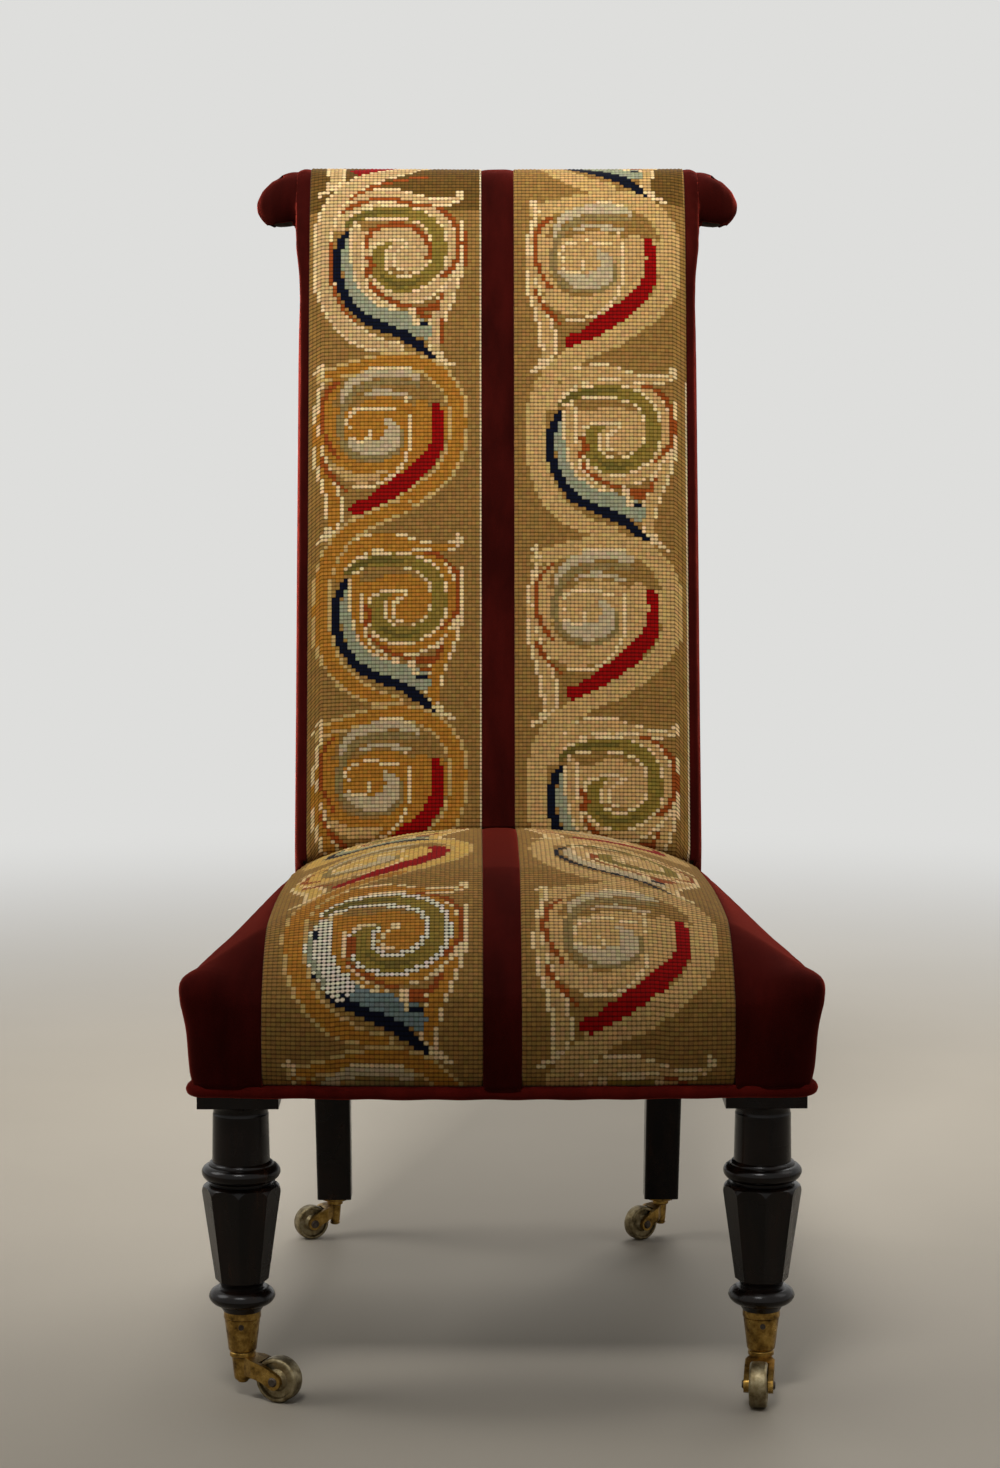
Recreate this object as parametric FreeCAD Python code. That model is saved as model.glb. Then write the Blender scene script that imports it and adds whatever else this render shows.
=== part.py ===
import FreeCAD, Part
import math
import os

# A low sewing chair: turned and faceted front legs on brass casters, raked back legs that run up
# into the back, a domed sprung seat and a tall narrow back with a rolled crest.
# Millimetres and degrees. X runs across, Y towards the back, Z up. The floor is Z = 0, the chair
# faces -Y and "left" is -X. The origin lies on the floor under the middle of the chair.

# Seat frame
front_leg_y = -273.0
leg_block = 64.0
frame_front_width = 472.0
leg_inset = 29.0
frame_setback = 3.0
frame_bow = 9.0
frame_corner_cut = 5.0
bow_flat = 160.0
frame_rear_width = 344.0
post_y = 158.0
post_width = 34.0
post_depth = 34.0
post_top_depth = 26.0
rail_bottom = 253.0
rail_height = 57.0
rail_thickness = 28.0
tenon_thickness = 12.0
tenon_length = 24.0
tenon_shoulder = 9.0
tenon_gap = 2.0
post_tenon_share = 0.6
block_reveal = 2.0
joint_clearance = 0.1
corner_brace_front = 75.0
corner_brace_rear = 55.0
corner_block_height = 40.0
block_screw_radius = 2.0
block_screw_grip = 10.0
block_screw_bite = 15.0
block_screw_inset = 17.0
block_screw_head_height = 2.5

# Front legs, from the cup of the caster upwards
collar_height = 4.3
foot_ring_height = 16.0
ankle_height = 5.5
shoulder_height = 14.0
quirk_height = 2.0
bead_height = 16.0
neck_height = 38.0
cove_height = 10.0
block_drop = 11.0
collar_radius = 17.6
foot_ring_radius = 26.5
ankle_radius = 17.0
taper_foot_radius = 21.2
shoulder_radius = 31.3
quirk_radius = 23.4
bead_radius = 31.2
neck_radius = 22.2
cove_radius = 27.5
facet_count = 8
ring_step = 1.0
ring_bulge = 2.0
ankle_flare = 1.5
ankle_hollow = 1.2
shoulder_lip = 1.0
shoulder_edge = 2.5
shoulder_crown = 0.85
bead_bulge = 1.7
ridge_height = 3.0
ridge_inset = 5.0
ridge_step = 0.5
ridge_bulge = 0.9
neck_flare = 0.6
cove_hollow = 2.7

# Back legs
toe_y = 222.0
toe_width = 32.0
toe_rounding = 3.0

# Back
back_rake = 12.0
back_overhang = 14.0
back_pad = 24.0
back_rounding = 7.0
crest_top = 1011.0
roll_radius = 30.0
sweep_radius = 250.0
sweep_angle = 20.0
ear_radius = 28.0
ear_length = 43.0
crest_core_radius = 20.0
crest_core_reach = 19.0
crest_core_rounding = 6.0
ear_neck = 1.0
dowel_radius = 5.0
dowel_length = 60.0
dowel_bite_share = 0.6
lower_rail_bottom = 415.0
lower_rail_height = 40.0
lower_rail_depth = 22.0

# Cover layout
cover = 2.0
fit_gap = 0.2
soft_gap = 0.3
centre_band = 30.0
border_return = 11.0
seat_strip_ease = 9.0
cover_split = 5.0

# Seat
seat_front_overhang = 13.0
seat_rear_overhang = 18.0
seat_front_y = -313.0
seat_rear_y = 138.0
seat_bow = 11.0
side_face_bulge = 2.0
mid_face_bulge = 6.0
side_front_edge = 318.0
mid_front_edge = 330.0
side_front_crown = 339.0
mid_front_crown = 412.0
side_mid_crown = 354.0
mid_mid_crown = 417.0
side_rear_crown = 362.0
mid_rear_crown = 399.0
side_roll_depth = 24.0
mid_roll_depth = 130.0
dome_power = 2.5
front_roll_share = 0.23
front_roll_rise = 0.39
crown_place = 0.57
side_rounding = 9.0
side_rounding_share = 0.25
piping_radius = 4.5
piping_corner = 12.0
piping_front_bend = 300.0

# Webbing, springs and linings
strap_width = 48.0
strap_thickness = 1.4
long_strap_spacing = 74.0
cross_strap_spacing = 92.0
strap_end_inset = 8.0
strap_steps = (-1.5, -0.5, 0.5, 1.5)
lining = 1.2
hessian_rise = 35.0
hessian_slope = 70.0
hessian_inset = 8.0
cloth = 0.8
cloth_inset = 4.0
spring_rows = ((-160.0, 84.0), (48.0, 66.0))
spring_centre_y = -56.0
spring_end_radius = 36.0
spring_waist_radius = 25.0
spring_wire_radius = 1.8
spring_turns = 4
back_strap_count = 4

# Casters
front_wheel_diameter = 36.5
front_wheel_width = 14.0
front_trail = 33.0
front_swivel_height = 37.7
cup_height = 32.5
cup_rim_radius = 14.9
cup_foot_radius = 11.3
cup_wall = 1.6
cup_floor = 3.5
cup_band = 5.5
cup_rounding = 2.2
cup_groove = 0.5
rear_wheel_diameter = 32.0
rear_wheel_width = 12.0
rear_trail = 24.0
rear_swivel_height = 35.6
plate_radius = 13.0
plate_thickness = 3.0
plate_chamfer = 1.0
plate_screw_circle = 9.8
plate_screw_radius = 1.3
plate_screw_head = 2.6
plate_screw_length = 14.0
pivot_radius = 3.2
pivot_head_radius = 5.5
pivot_head_height = 2.4
pivot_button_bottom = 11.6
pivot_button_lip = 1.6
pivot_button_flat = 0.6
pivot_button_bulge = 0.5
axle_radius = 2.4
axle_head_radius = 3.9
axle_head_height = 1.5
axle_head_taper = 0.7
axle_fit = 0.02
wheel_hub_share = 0.34
wheel_rim_share = 0.76
wheel_recess_share = 0.2
wheel_rounding_share = 0.2
wheel_rim_step = 1.0
tread_crown = 0.3
fork_arm = 4.2
fork_eye_share = 0.36
fork_eye_upper = 45.0
fork_eye_lower = -120.0
fork_bow_share = 0.065
fork_spread = 5.0
boss_wall = 5.4
boss_gap = 1.0
boss_lip = 1.8
boss_lip_height = 3.5
boss_lip_slope = 1.5
boss_lip_edge = 0.6
boss_foot_share = 0.72
boss_foot_height = 1.5
boss_foot_flare = 0.8
arm_root_share = 0.7
arm_drop = 3.0
arm_rise = 5.0
neck_share = 0.9
neck_run_share = 0.6
wheel_side_gap = 0.5
wheel_rim_gap = 1.3
running_clearance = 0.05
swivel_gap = 0.4
cup_screw_radius = 1.2
cup_screw_head = 2.2
cup_screw_length = 9.0
cup_screw_head_height = 1.0
cup_screw_drop = 10.5
front_left_swivel = -25.0
front_right_swivel = -98.0
rear_left_swivel = 203.0
rear_right_swivel = 215.0

# Derived places
rail_top = rail_bottom + rail_height
leg_x = frame_front_width / 2 - leg_inset
frame_front_half = frame_front_width / 2
frame_rear_half = frame_rear_width / 2
frame_front_y = front_leg_y - leg_block / 2 + frame_setback
post_front_y = post_y - post_depth / 2
post_rear_y = post_y + post_depth / 2
post_x = frame_rear_half - post_width / 2
rail_inner_front_y = frame_front_y + rail_thickness
rail_inner_rear_y = post_rear_y - rail_thickness
slab_top = rail_bottom - block_reveal
cup_base = front_swivel_height
toe_z = cup_base + cup_height
rear_toe_z = rear_swivel_height + plate_thickness
strip_inner = centre_band / 2
back_half = frame_rear_width / 2 + back_overhang
strip_edge = back_half - border_return
seat_strip_edge = strip_edge + seat_strip_ease
crest_core_half = back_half + crest_core_reach
seat_front_half = frame_front_width / 2 + seat_front_overhang
seat_rear_half = frame_rear_width / 2 + seat_rear_overhang
roll_z = crest_top - roll_radius
rake_slope = math.tan(math.radians(back_rake))
rake_cosine = math.cos(math.radians(back_rake))
strap_layer = strap_thickness + joint_clearance
lining_front = strap_layer + lining
back_front_depth = lining_front + fit_gap + back_pad + cover
piping_z = slab_top + soft_gap + piping_radius
skirt_bottom = piping_z + piping_radius + soft_gap
overcut = 10.0
far = 2000.0


# General shapes

def vec(x, y, z):
    return FreeCAD.Vector(x, y, z)


def closed_wire(corners, place):
    # A corner is (a, b) at the end of a straight run, or (a, b, via_a, via_b) at the end of an arc.
    points = [place(corner[0], corner[1]) for corner in corners]
    edges = []
    for index, corner in enumerate(corners):
        start = points[index - 1]
        end = points[index]
        if len(corner) == 4:
            edges.append(Part.Arc(start, place(corner[2], corner[3]), end).toShape())
        elif (end - start).Length > 1e-6:
            edges.append(Part.LineSegment(start, end).toShape())
    return Part.Wire(edges)


def bowed(start, end, bulge):
    # A corner at the end of an arc that swells to the right of its run, or hollows where bulge is negative.
    run_a = end[0] - start[0]
    run_b = end[1] - start[1]
    length = math.hypot(run_a, run_b)
    via_a = (start[0] + end[0]) / 2 + bulge * run_b / length
    via_b = (start[1] + end[1]) / 2 - bulge * run_a / length
    return end[0], end[1], via_a, via_b


def side_slab(corners, x_low, x_high):
    # Corners are (y, z); the slab runs across the chair.
    face = Part.Face(closed_wire(corners, lambda y, z: vec(x_low, y, z)))
    return face.extrude(vec(x_high - x_low, 0, 0))


def plan_slab(corners, z_low, z_high):
    # Corners are (x, y); the slab stands upright.
    face = Part.Face(closed_wire(corners, lambda x, y: vec(x, y, z_low)))
    return face.extrude(vec(0, 0, z_high - z_low))


def turned(corners):
    # Corners are (radius, z), turned about the Z axis.
    face = Part.Face(closed_wire(corners, lambda r, z: vec(r, 0, z)))
    return face.revolve(vec(0, 0, 0), vec(0, 0, 1), 360)


def box(x_low, x_high, y_low, y_high, z_low, z_high):
    corner = vec(x_low, y_low, z_low)
    return Part.makeBox(x_high - x_low, y_high - y_low, z_high - z_low, corner)


def mirrored(shape):
    return shape.mirror(vec(0, 0, 0), vec(1, 0, 0))


def moved(shape, x, y, z):
    copy = shape.copy()
    copy.translate(vec(x, y, z))
    return copy


def one_solid(shape):
    return max(shape.Solids, key=lambda solid: solid.Volume)


def rounded_path(points, radii):
    # Straight runs between the points, with a tangent arc of the given radius at each inner point.
    edges = []
    start = points[0]
    for index in range(1, len(points) - 1):
        corner = points[index]
        into = (corner - points[index - 1]).normalize()
        out = (points[index + 1] - corner).normalize()
        turn = into.getAngle(out)
        cut = radii[index - 1] * math.tan(turn / 2)
        arc_start = corner - into * cut
        arc_end = corner + out * cut
        inward = (out - into).normalize()
        depth = radii[index - 1] * (1 / math.cos(turn / 2) - 1)
        edges.append(Part.LineSegment(start, arc_start).toShape())
        edges.append(Part.Arc(arc_start, corner + inward * depth, arc_end).toShape())
        start = arc_end
    edges.append(Part.LineSegment(start, points[-1]).toShape())
    return Part.Wire(edges)


def screw(head, direction, shank_radius, head_radius, length, head_height):
    # The head's underside is at the given point and the shank runs along the direction.
    shank = Part.makeCylinder(shank_radius, length, head, direction)
    cap = Part.makeCylinder(head_radius, head_height, head, direction * -1)
    return shank.fuse(cap).removeSplitter()


# Seat frame

def frame_half(y):
    corner_y = frame_front_y + frame_corner_cut
    share = (y - corner_y) / (post_front_y - corner_y)
    return frame_front_half + (frame_rear_half - frame_front_half) * share


def frame_outline(inset):
    front = frame_front_y + inset
    rear = post_rear_y - inset
    front_half = frame_front_half - inset
    rear_half = frame_rear_half - inset
    cut = frame_corner_cut
    return [
        (-front_half, front + cut),
        (-front_half + cut, front),
        (-bow_flat / 2, front - frame_bow),
        (bow_flat / 2, front - frame_bow),
        (front_half - cut, front),
        (front_half, front + cut),
        (rear_half, post_front_y),
        (rear_half, rear),
        (-rear_half, rear),
        (-rear_half, post_front_y),
    ]


def front_tenons(grow):
    reach = leg_x - leg_block / 2 + tenon_length + grow
    middle = frame_front_y + rail_thickness / 2
    half = tenon_thickness / 2 + grow
    low = rail_bottom + tenon_shoulder - grow
    high = rail_top - tenon_shoulder + grow
    return box(-reach, reach, middle - half, middle + half, low, high)


def side_tenons(grow):
    y_low = front_leg_y + leg_block / 2 - tenon_length - grow
    y_high = post_front_y + post_depth * post_tenon_share + grow
    half = tenon_thickness / 2 + grow
    low_middle = frame_half(y_low) - rail_thickness / 2
    high_middle = frame_half(y_high) - rail_thickness / 2
    corners = [
        (low_middle - half, y_low),
        (low_middle + half, y_low),
        (high_middle + half, y_high),
        (high_middle - half, y_high),
    ]
    return plan_slab(corners, rail_bottom + tenon_shoulder - grow, rail_top - tenon_shoulder + grow)


def rear_tenons(grow):
    y_high = post_front_y + post_depth * post_tenon_share
    side_tenon_inner = frame_half(y_high) - (rail_thickness + tenon_thickness) / 2
    reach = side_tenon_inner - tenon_gap + grow
    middle = post_rear_y - rail_thickness / 2
    half = tenon_thickness / 2 + grow
    low = rail_bottom + tenon_shoulder - grow
    high = rail_top - tenon_shoulder + grow
    return box(-reach, reach, middle - half, middle + half, low, high)


def front_rail():
    inner = leg_x - leg_block / 2
    body = plan_slab(frame_outline(0), rail_bottom, rail_top)
    body = body.common(box(-inner, inner, -far, rail_inner_front_y, 0, far))
    return body.fuse(front_tenons(0)).removeSplitter()


def rear_rail():
    inner = frame_rear_half - post_width
    body = box(-inner, inner, rail_inner_rear_y, post_rear_y, rail_bottom, rail_top)
    return body.fuse(rear_tenons(0)).removeSplitter()


def side_rail():
    y_low = front_leg_y + leg_block / 2
    corners = [
        (frame_half(y_low) - rail_thickness, y_low),
        (frame_half(y_low), y_low),
        (frame_rear_half, post_front_y),
        (frame_rear_half - rail_thickness, post_front_y),
    ]
    body = plan_slab(corners, rail_bottom, rail_top)
    return body.fuse(side_tenons(0)).removeSplitter()


# Front legs

def leg_levels():
    # Heights of the leg's parts, from the toe up; the faceted taper takes what the others leave.
    ring_low = toe_z + collar_height
    ankle_low = ring_low + foot_ring_height
    taper_low = ankle_low + ankle_height
    block_low = slab_top - block_drop
    cove_low = block_low - cove_height
    neck_low = cove_low - neck_height
    bead_low = neck_low - bead_height
    quirk_low = bead_low - quirk_height
    shoulder_low = quirk_low - shoulder_height
    return {
        "ring": ring_low, "ankle": ankle_low, "taper": taper_low, "shoulder": shoulder_low,
        "quirk": quirk_low, "bead": bead_low, "neck": neck_low, "cove": cove_low, "block": block_low,
    }


def faceted_taper(level):
    low = level["ankle"]
    start = level["taper"]
    high = level["shoulder"]
    top = level["quirk"]
    lip = shoulder_radius - shoulder_lip
    edge = top - shoulder_edge
    baluster = turned([
        (0, low),
        (ankle_radius, low),
        bowed((ankle_radius, low), (taper_foot_radius, start), -ankle_hollow),
        (lip, high),
        bowed((lip, high), (lip, edge), shoulder_lip),
        bowed((lip, edge), (quirk_radius, top), shoulder_crown),
        (0, top),
    ])
    rise = top - start
    spread = (lip - taper_foot_radius) * rise / (high - start)
    octagons = []
    for z, radius in ((low, taper_foot_radius - spread * (start - low) / rise),
                      (top, taper_foot_radius + spread)):
        angles = [2 * math.pi * index / facet_count for index in range(facet_count + 1)]
        points = [vec(radius * math.cos(angle), radius * math.sin(angle), z) for angle in angles]
        octagons.append(Part.makePolygon(points))
    frustum = Part.makeLoft(octagons, True, True)
    return baluster.common(frustum)


def front_leg():
    level = leg_levels()
    ring_start = (collar_radius, level["ring"] + ring_step)
    ring_mid = (foot_ring_radius, level["ring"] + foot_ring_height / 2)
    ring_end = (ankle_radius + ankle_flare, level["ankle"] - ring_step)
    ridge_low = level["neck"] - ridge_height
    bead_start = (quirk_radius, level["bead"])
    bead_mid = (bead_radius, (level["bead"] + ridge_low) / 2)
    bead_end = (bead_radius - ridge_inset, ridge_low)
    ridge_start = (bead_end[0] - ridge_step, ridge_low)
    ridge_end = (neck_radius + neck_flare, level["neck"])
    cove_start = (neck_radius, level["cove"])
    cove_end = (cove_radius, level["block"])
    spigot_top = cup_rim_radius - cup_wall - joint_clearance
    spigot_foot = cup_foot_radius - cup_wall - joint_clearance
    spigot_low = cup_base + cup_floor + pivot_head_height + 2 * joint_clearance
    spigot_share = (spigot_low - cup_base) / cup_height
    foot = turned([
        (0, spigot_low),
        (spigot_foot + (spigot_top - spigot_foot) * spigot_share, spigot_low),
        (spigot_top, toe_z),
        (cup_rim_radius, toe_z),
        (collar_radius, level["ring"]),
        ring_start,
        bowed(ring_start, ring_mid, ring_bulge),
        bowed(ring_mid, ring_end, ring_bulge),
        (ankle_radius, level["ankle"]),
        (0, level["ankle"]),
    ])
    throat = turned([
        (0, level["quirk"]),
        (quirk_radius, level["quirk"]),
        bead_start,
        bowed(bead_start, bead_mid, bead_bulge),
        bowed(bead_mid, bead_end, bead_bulge),
        ridge_start,
        bowed(ridge_start, ridge_end, ridge_bulge),
        cove_start,
        bowed(cove_start, cove_end, -cove_hollow),
        (0, level["block"]),
    ])
    slab = box(-leg_block / 2, leg_block / 2, -leg_block / 2, leg_block / 2, level["block"], slab_top)
    turned_leg = foot.fuse([faceted_taper(level), throat, slab])
    leg = moved(turned_leg, leg_x, front_leg_y, 0)
    inner_x = leg_x - leg_block / 2
    inner_y = front_leg_y + leg_block / 2
    head = plan_slab(frame_outline(0), slab_top, rail_top)
    head = head.common(box(inner_x, far, -far, inner_y, 0, far))
    leg = leg.fuse(head).removeSplitter()
    leg = leg.cut(front_tenons(joint_clearance)).cut(side_tenons(joint_clearance))
    for sign in (-1, 1):
        leg = leg.cut(cup_screw(sign, joint_clearance))
    return one_solid(leg)


# Back posts and rails of the back

def post_front(z):
    return post_front_y + max(0.0, z - rail_top) * rake_slope


def post_rear(z):
    top_y = post_front(roll_z) + post_top_depth
    share = max(0.0, z - rail_top) / (roll_z - rail_top)
    return post_rear_y + (top_y - post_rear_y) * share


def rounded_rectangle(x, y, width, depth, rounding, z):
    left = x - width / 2
    right = x + width / 2
    front = y - depth / 2
    rear = y + depth / 2
    bulge = rounding * (1 - math.sqrt(0.5))
    return closed_wire([
        (left, rear - rounding),
        (left, front + rounding),
        (left + rounding, front, left + bulge, front + bulge),
        (right - rounding, front),
        (right, front + rounding, right - bulge, front + bulge),
        (right, rear - rounding),
        (right - rounding, rear, right - bulge, rear - bulge),
        (left + rounding, rear),
        (left, rear - rounding, left + bulge, rear - bulge),
    ], lambda a, b: vec(a, b, z))


def back_post():
    toe = rounded_rectangle(post_x, toe_y, toe_width, toe_width, toe_rounding, rear_toe_z)
    knee = rounded_rectangle(post_x, post_y, post_width, post_depth, toe_rounding, rail_bottom)
    leg = Part.makeLoft([toe, knee], True, True)
    x_low = frame_rear_half - post_width
    upright = side_slab([
        (post_front_y, rail_bottom),
        (post_front_y, rail_top),
        (post_front(roll_z), roll_z),
        (post_rear(roll_z), roll_z),
        (post_rear_y, rail_top),
        (post_rear_y, rail_bottom),
    ], x_low, frame_rear_half)
    post = leg.fuse(upright).removeSplitter()
    post = post.cut(crest_cylinder(crest_core_radius + joint_clearance, -far, far))
    post = post.cut(side_tenons(joint_clearance)).cut(rear_tenons(joint_clearance))
    post = post.cut(lower_rail_tenons(joint_clearance)).cut(crest_dowel(joint_clearance))
    for hole in plate_screws(joint_clearance):
        post = post.cut(hole)
    return one_solid(post)


def roll_y():
    end_angle = math.radians(back_rake + sweep_angle)
    start_angle = math.radians(back_rake)
    start_z = roll_z + roll_radius * math.sin(end_angle)
    start_z -= sweep_radius * (math.sin(end_angle) - math.sin(start_angle))
    start_y = back_front(start_z)
    end_y = start_y + sweep_radius * (math.cos(start_angle) - math.cos(end_angle))
    return end_y + roll_radius * math.cos(end_angle)


def back_front(z):
    # The front of the back's cover, in a raked plane ahead of the posts.
    return post_front_y + (z - rail_top) * rake_slope - back_front_depth / rake_cosine


def crest_cylinder(radius, x_low, x_high):
    return Part.makeCylinder(radius, x_high - x_low, vec(x_low, roll_y(), roll_z), vec(1, 0, 0))


def crest_dowel(grow):
    low = roll_z - crest_core_radius - dowel_length * dowel_bite_share
    middle = (post_front(low) + post_rear(low)) / 2
    start = vec(post_x, middle, low - grow)
    lean = vec(0, (post_front(roll_z) + post_rear(roll_z)) / 2 - middle, roll_z - low)
    return Part.makeCylinder(dowel_radius + grow, dowel_length + 2 * grow, start, lean)


def crest_rail():
    rail = crest_cylinder(crest_core_radius, -crest_core_half, crest_core_half)
    end_rims = [edge for edge in rail.Edges if edge.isClosed()]
    rail = rail.makeFillet(crest_core_rounding, end_rims)
    for dowel in (crest_dowel(joint_clearance), mirrored(crest_dowel(joint_clearance))):
        rail = rail.cut(dowel)
    return one_solid(rail)


def lower_rail_outline(grow, shoulder):
    low = lower_rail_bottom + shoulder - grow
    high = lower_rail_bottom + lower_rail_height - shoulder + grow
    front = shoulder / 2 - grow
    rear = lower_rail_depth - shoulder / 2 + grow
    return [
        (post_front(low) + front, low),
        (post_front(high) + front, high),
        (post_front(high) + rear, high),
        (post_front(low) + rear, low),
    ]


def lower_rail_tenons(grow):
    reach = frame_rear_half - post_width / 2 + grow
    return side_slab(lower_rail_outline(grow, tenon_shoulder), -reach, reach)


def lower_rail():
    inner = frame_rear_half - post_width
    body = side_slab(lower_rail_outline(0, 0), -inner, inner)
    return body.fuse(lower_rail_tenons(0)).removeSplitter()


# Corner blocks and their screws

def rail_inner_half(y):
    return frame_half(y) - rail_thickness


def corner_screw_places():
    # Each entry: block name, head point, direction; two screws hold each block.
    front_y = rail_inner_front_y
    rear_y = rail_inner_rear_y
    level = rail_bottom + rail_height / 2
    front_x = rail_inner_half(front_y) - corner_brace_front + block_screw_inset
    front_side_y = front_y + corner_brace_front - block_screw_inset
    rear_x = rail_inner_half(rear_y) - corner_brace_rear + block_screw_inset
    rear_side_y = rear_y - corner_brace_rear + block_screw_inset
    grip = block_screw_grip
    return [
        (vec(front_x, front_y + grip, level), vec(0, -1, 0)),
        (vec(rail_inner_half(front_side_y) - grip, front_side_y, level), vec(1, 0, 0)),
        (vec(rear_x, rear_y - grip, level), vec(0, 1, 0)),
        (vec(rail_inner_half(rear_side_y) - grip, rear_side_y, level), vec(1, 0, 0)),
    ]


def corner_screws(grow):
    length = block_screw_grip + block_screw_bite + grow
    shank = block_screw_radius + grow
    screws = []
    for head, along in corner_screw_places():
        screws.append(screw(head, along, shank, block_screw_radius * 2, length, block_screw_head_height))
    return screws


def corner_bores():
    bores = []
    radius = block_screw_radius * 2 + fit_gap
    for head, along in corner_screw_places():
        bores.append(Part.makeCylinder(radius, corner_brace_front, head, along * -1))
    return bores


def corner_block(rail_y, brace, direction):
    # A triangle in the inner corner of two rails; direction is +1 at the front rail and -1 at the rear.
    corner_x = rail_inner_half(rail_y)
    side_y = rail_y + direction * brace
    triangle = [(corner_x - brace, rail_y), (corner_x, rail_y), (rail_inner_half(side_y), side_y)]
    low = rail_bottom + (rail_height - corner_block_height) / 2
    block = plan_slab(triangle, low, low + corner_block_height)
    leg_low_x = leg_x - leg_block / 2 - joint_clearance
    leg_high_y = front_leg_y + leg_block / 2 + joint_clearance
    block = block.cut(box(leg_low_x, far, -far, leg_high_y, 0, far))
    post_low_x = frame_rear_half - post_width - joint_clearance
    post_low_y = post_front_y - joint_clearance
    block = block.cut(box(post_low_x, far, post_low_y, far, 0, far))
    for hole in corner_screws(joint_clearance) + corner_bores():
        block = block.cut(hole)
    return one_solid(block)


# Back upholstery

def roll_meets_rear(inset):
    # Where the roll's circle meets the line of the outside back, low on the roll's far side.
    radius = roll_radius - inset
    centre_y = roll_y()
    low = rail_top
    high = roll_z
    shift = cover - inset
    direction_y = post_rear(high) - post_rear(low)
    direction_z = high - low
    start_y = post_rear(low) + shift - centre_y
    start_z = low - roll_z
    a = direction_y ** 2 + direction_z ** 2
    b = 2 * (start_y * direction_y + start_z * direction_z)
    c = start_y ** 2 + start_z ** 2 - radius ** 2
    share = (-b - math.sqrt(b * b - 4 * a * c)) / (2 * a)
    return start_y + share * direction_y + centre_y, low + share * direction_z


def back_profile(inset, bottom):
    start_angle = math.radians(back_rake)
    end_angle = math.radians(back_rake + sweep_angle)
    middle_angle = (start_angle + end_angle) / 2
    centre_y = roll_y()
    radius = roll_radius - inset
    sweep = sweep_radius - inset
    sweep_y = centre_y + (sweep_radius - roll_radius) * math.cos(end_angle)
    sweep_z = roll_z - (sweep_radius - roll_radius) * math.sin(end_angle)
    meet_y, meet_z = roll_meets_rear(inset)
    meet_angle = math.atan2(meet_z - roll_z, meet_y - centre_y)

    def on_sweep(angle):
        return sweep_y - sweep * math.cos(angle), sweep_z + sweep * math.sin(angle)

    def on_roll(angle):
        return centre_y + radius * math.cos(angle), roll_z + radius * math.sin(angle)

    front = back_front(bottom) + inset / rake_cosine
    rear = post_rear_y + cover - inset
    return [
        (front, bottom),
        on_sweep(start_angle),
        on_sweep(end_angle) + on_sweep(middle_angle),
        on_roll(0) + on_roll((math.pi - end_angle) / 2),
        (meet_y, meet_z) + on_roll(meet_angle / 2),
        (rear, rail_top),
        (rear, bottom),
    ]


def back_form(inset, bottom, x_low, x_high):
    return side_slab(back_profile(inset, bottom), x_low, x_high)


def behind_back():
    # Everything behind the middle of the back and below the roll.
    low = 0.0
    high = roll_meets_rear(0)[1]
    return side_slab([
        (post_front(low) + cover_split, low),
        (post_front(rail_top) + cover_split, rail_top),
        (post_front(high) + cover_split, high),
        (far, high),
        (far, low),
    ], -far, far)


def back_strip(x_low, x_high, seat_cut):
    shell = back_form(0, rail_bottom, x_low, x_high)
    shell = shell.cut(back_form(cover, rail_bottom - overcut, x_low - overcut, x_high + overcut))
    return one_solid(shell.cut(behind_back()).cut(seat_cut))


def outside_back():
    reach = strip_edge - fit_gap / 2
    shell = back_form(0, rail_bottom, -reach, reach)
    shell = shell.cut(back_form(cover, rail_bottom - overcut, -back_half, back_half))
    return one_solid(shell.common(behind_back()))


def rounded_side(form, x_side, rounding):
    # Rounds the long edges of one side, all but the cut at the bottom.
    edges = []
    for edge in form.Edges:
        extent = edge.BoundBox
        on_side = abs(extent.XMin - x_side) < 1e-3 and abs(extent.XMax - x_side) < 1e-3
        if on_side and extent.ZLength > 1e-3:
            edges.append(edge)
    return form.makeFillet(rounding, edges)


def back_border(seat_cut):
    # The velvet that closes the right side: a front return, the flat side and a rear return.
    outer = back_form(0, rail_bottom, strip_edge + fit_gap / 2, back_half)
    inner = back_form(cover, rail_bottom - overcut, strip_edge - overcut, back_half - cover)
    outer = rounded_side(outer, back_half, back_rounding)
    inner = rounded_side(inner, back_half - cover, back_rounding - cover)
    shell = outer.cut(inner)
    shell = shell.cut(ear_form(cover))
    return one_solid(shell.cut(seat_cut))


def ear_form(inset):
    # Half an ellipsoid on the end of the roll, with a short straight neck into the back.
    radius = ear_radius - inset
    length = ear_length - inset
    start = back_half - cover - ear_neck
    base = vec(back_half, roll_y(), roll_z)
    tip = vec(back_half + length, roll_y(), roll_z)
    shoulder = vec(back_half, roll_y() + radius, roll_z)
    ellipse = Part.Ellipse(tip, shoulder, base)
    arc = Part.ArcOfEllipse(ellipse, 0, math.pi / 2).toShape()
    neck = vec(start, roll_y() + radius, roll_z)
    inner = vec(start, roll_y(), roll_z)
    edges = [
        arc,
        Part.LineSegment(shoulder, neck).toShape(),
        Part.LineSegment(neck, inner).toShape(),
        Part.LineSegment(inner, tip).toShape(),
    ]
    face = Part.Face(Part.Wire(Part.__sortEdges__(edges)))
    return face.revolve(vec(0, roll_y(), roll_z), vec(1, 0, 0), 360)


def crest_cap():
    shell = ear_form(0).cut(ear_form(cover))
    return one_solid(shell.common(box(back_half + fit_gap, far, -far, far, 0, far)))


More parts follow.
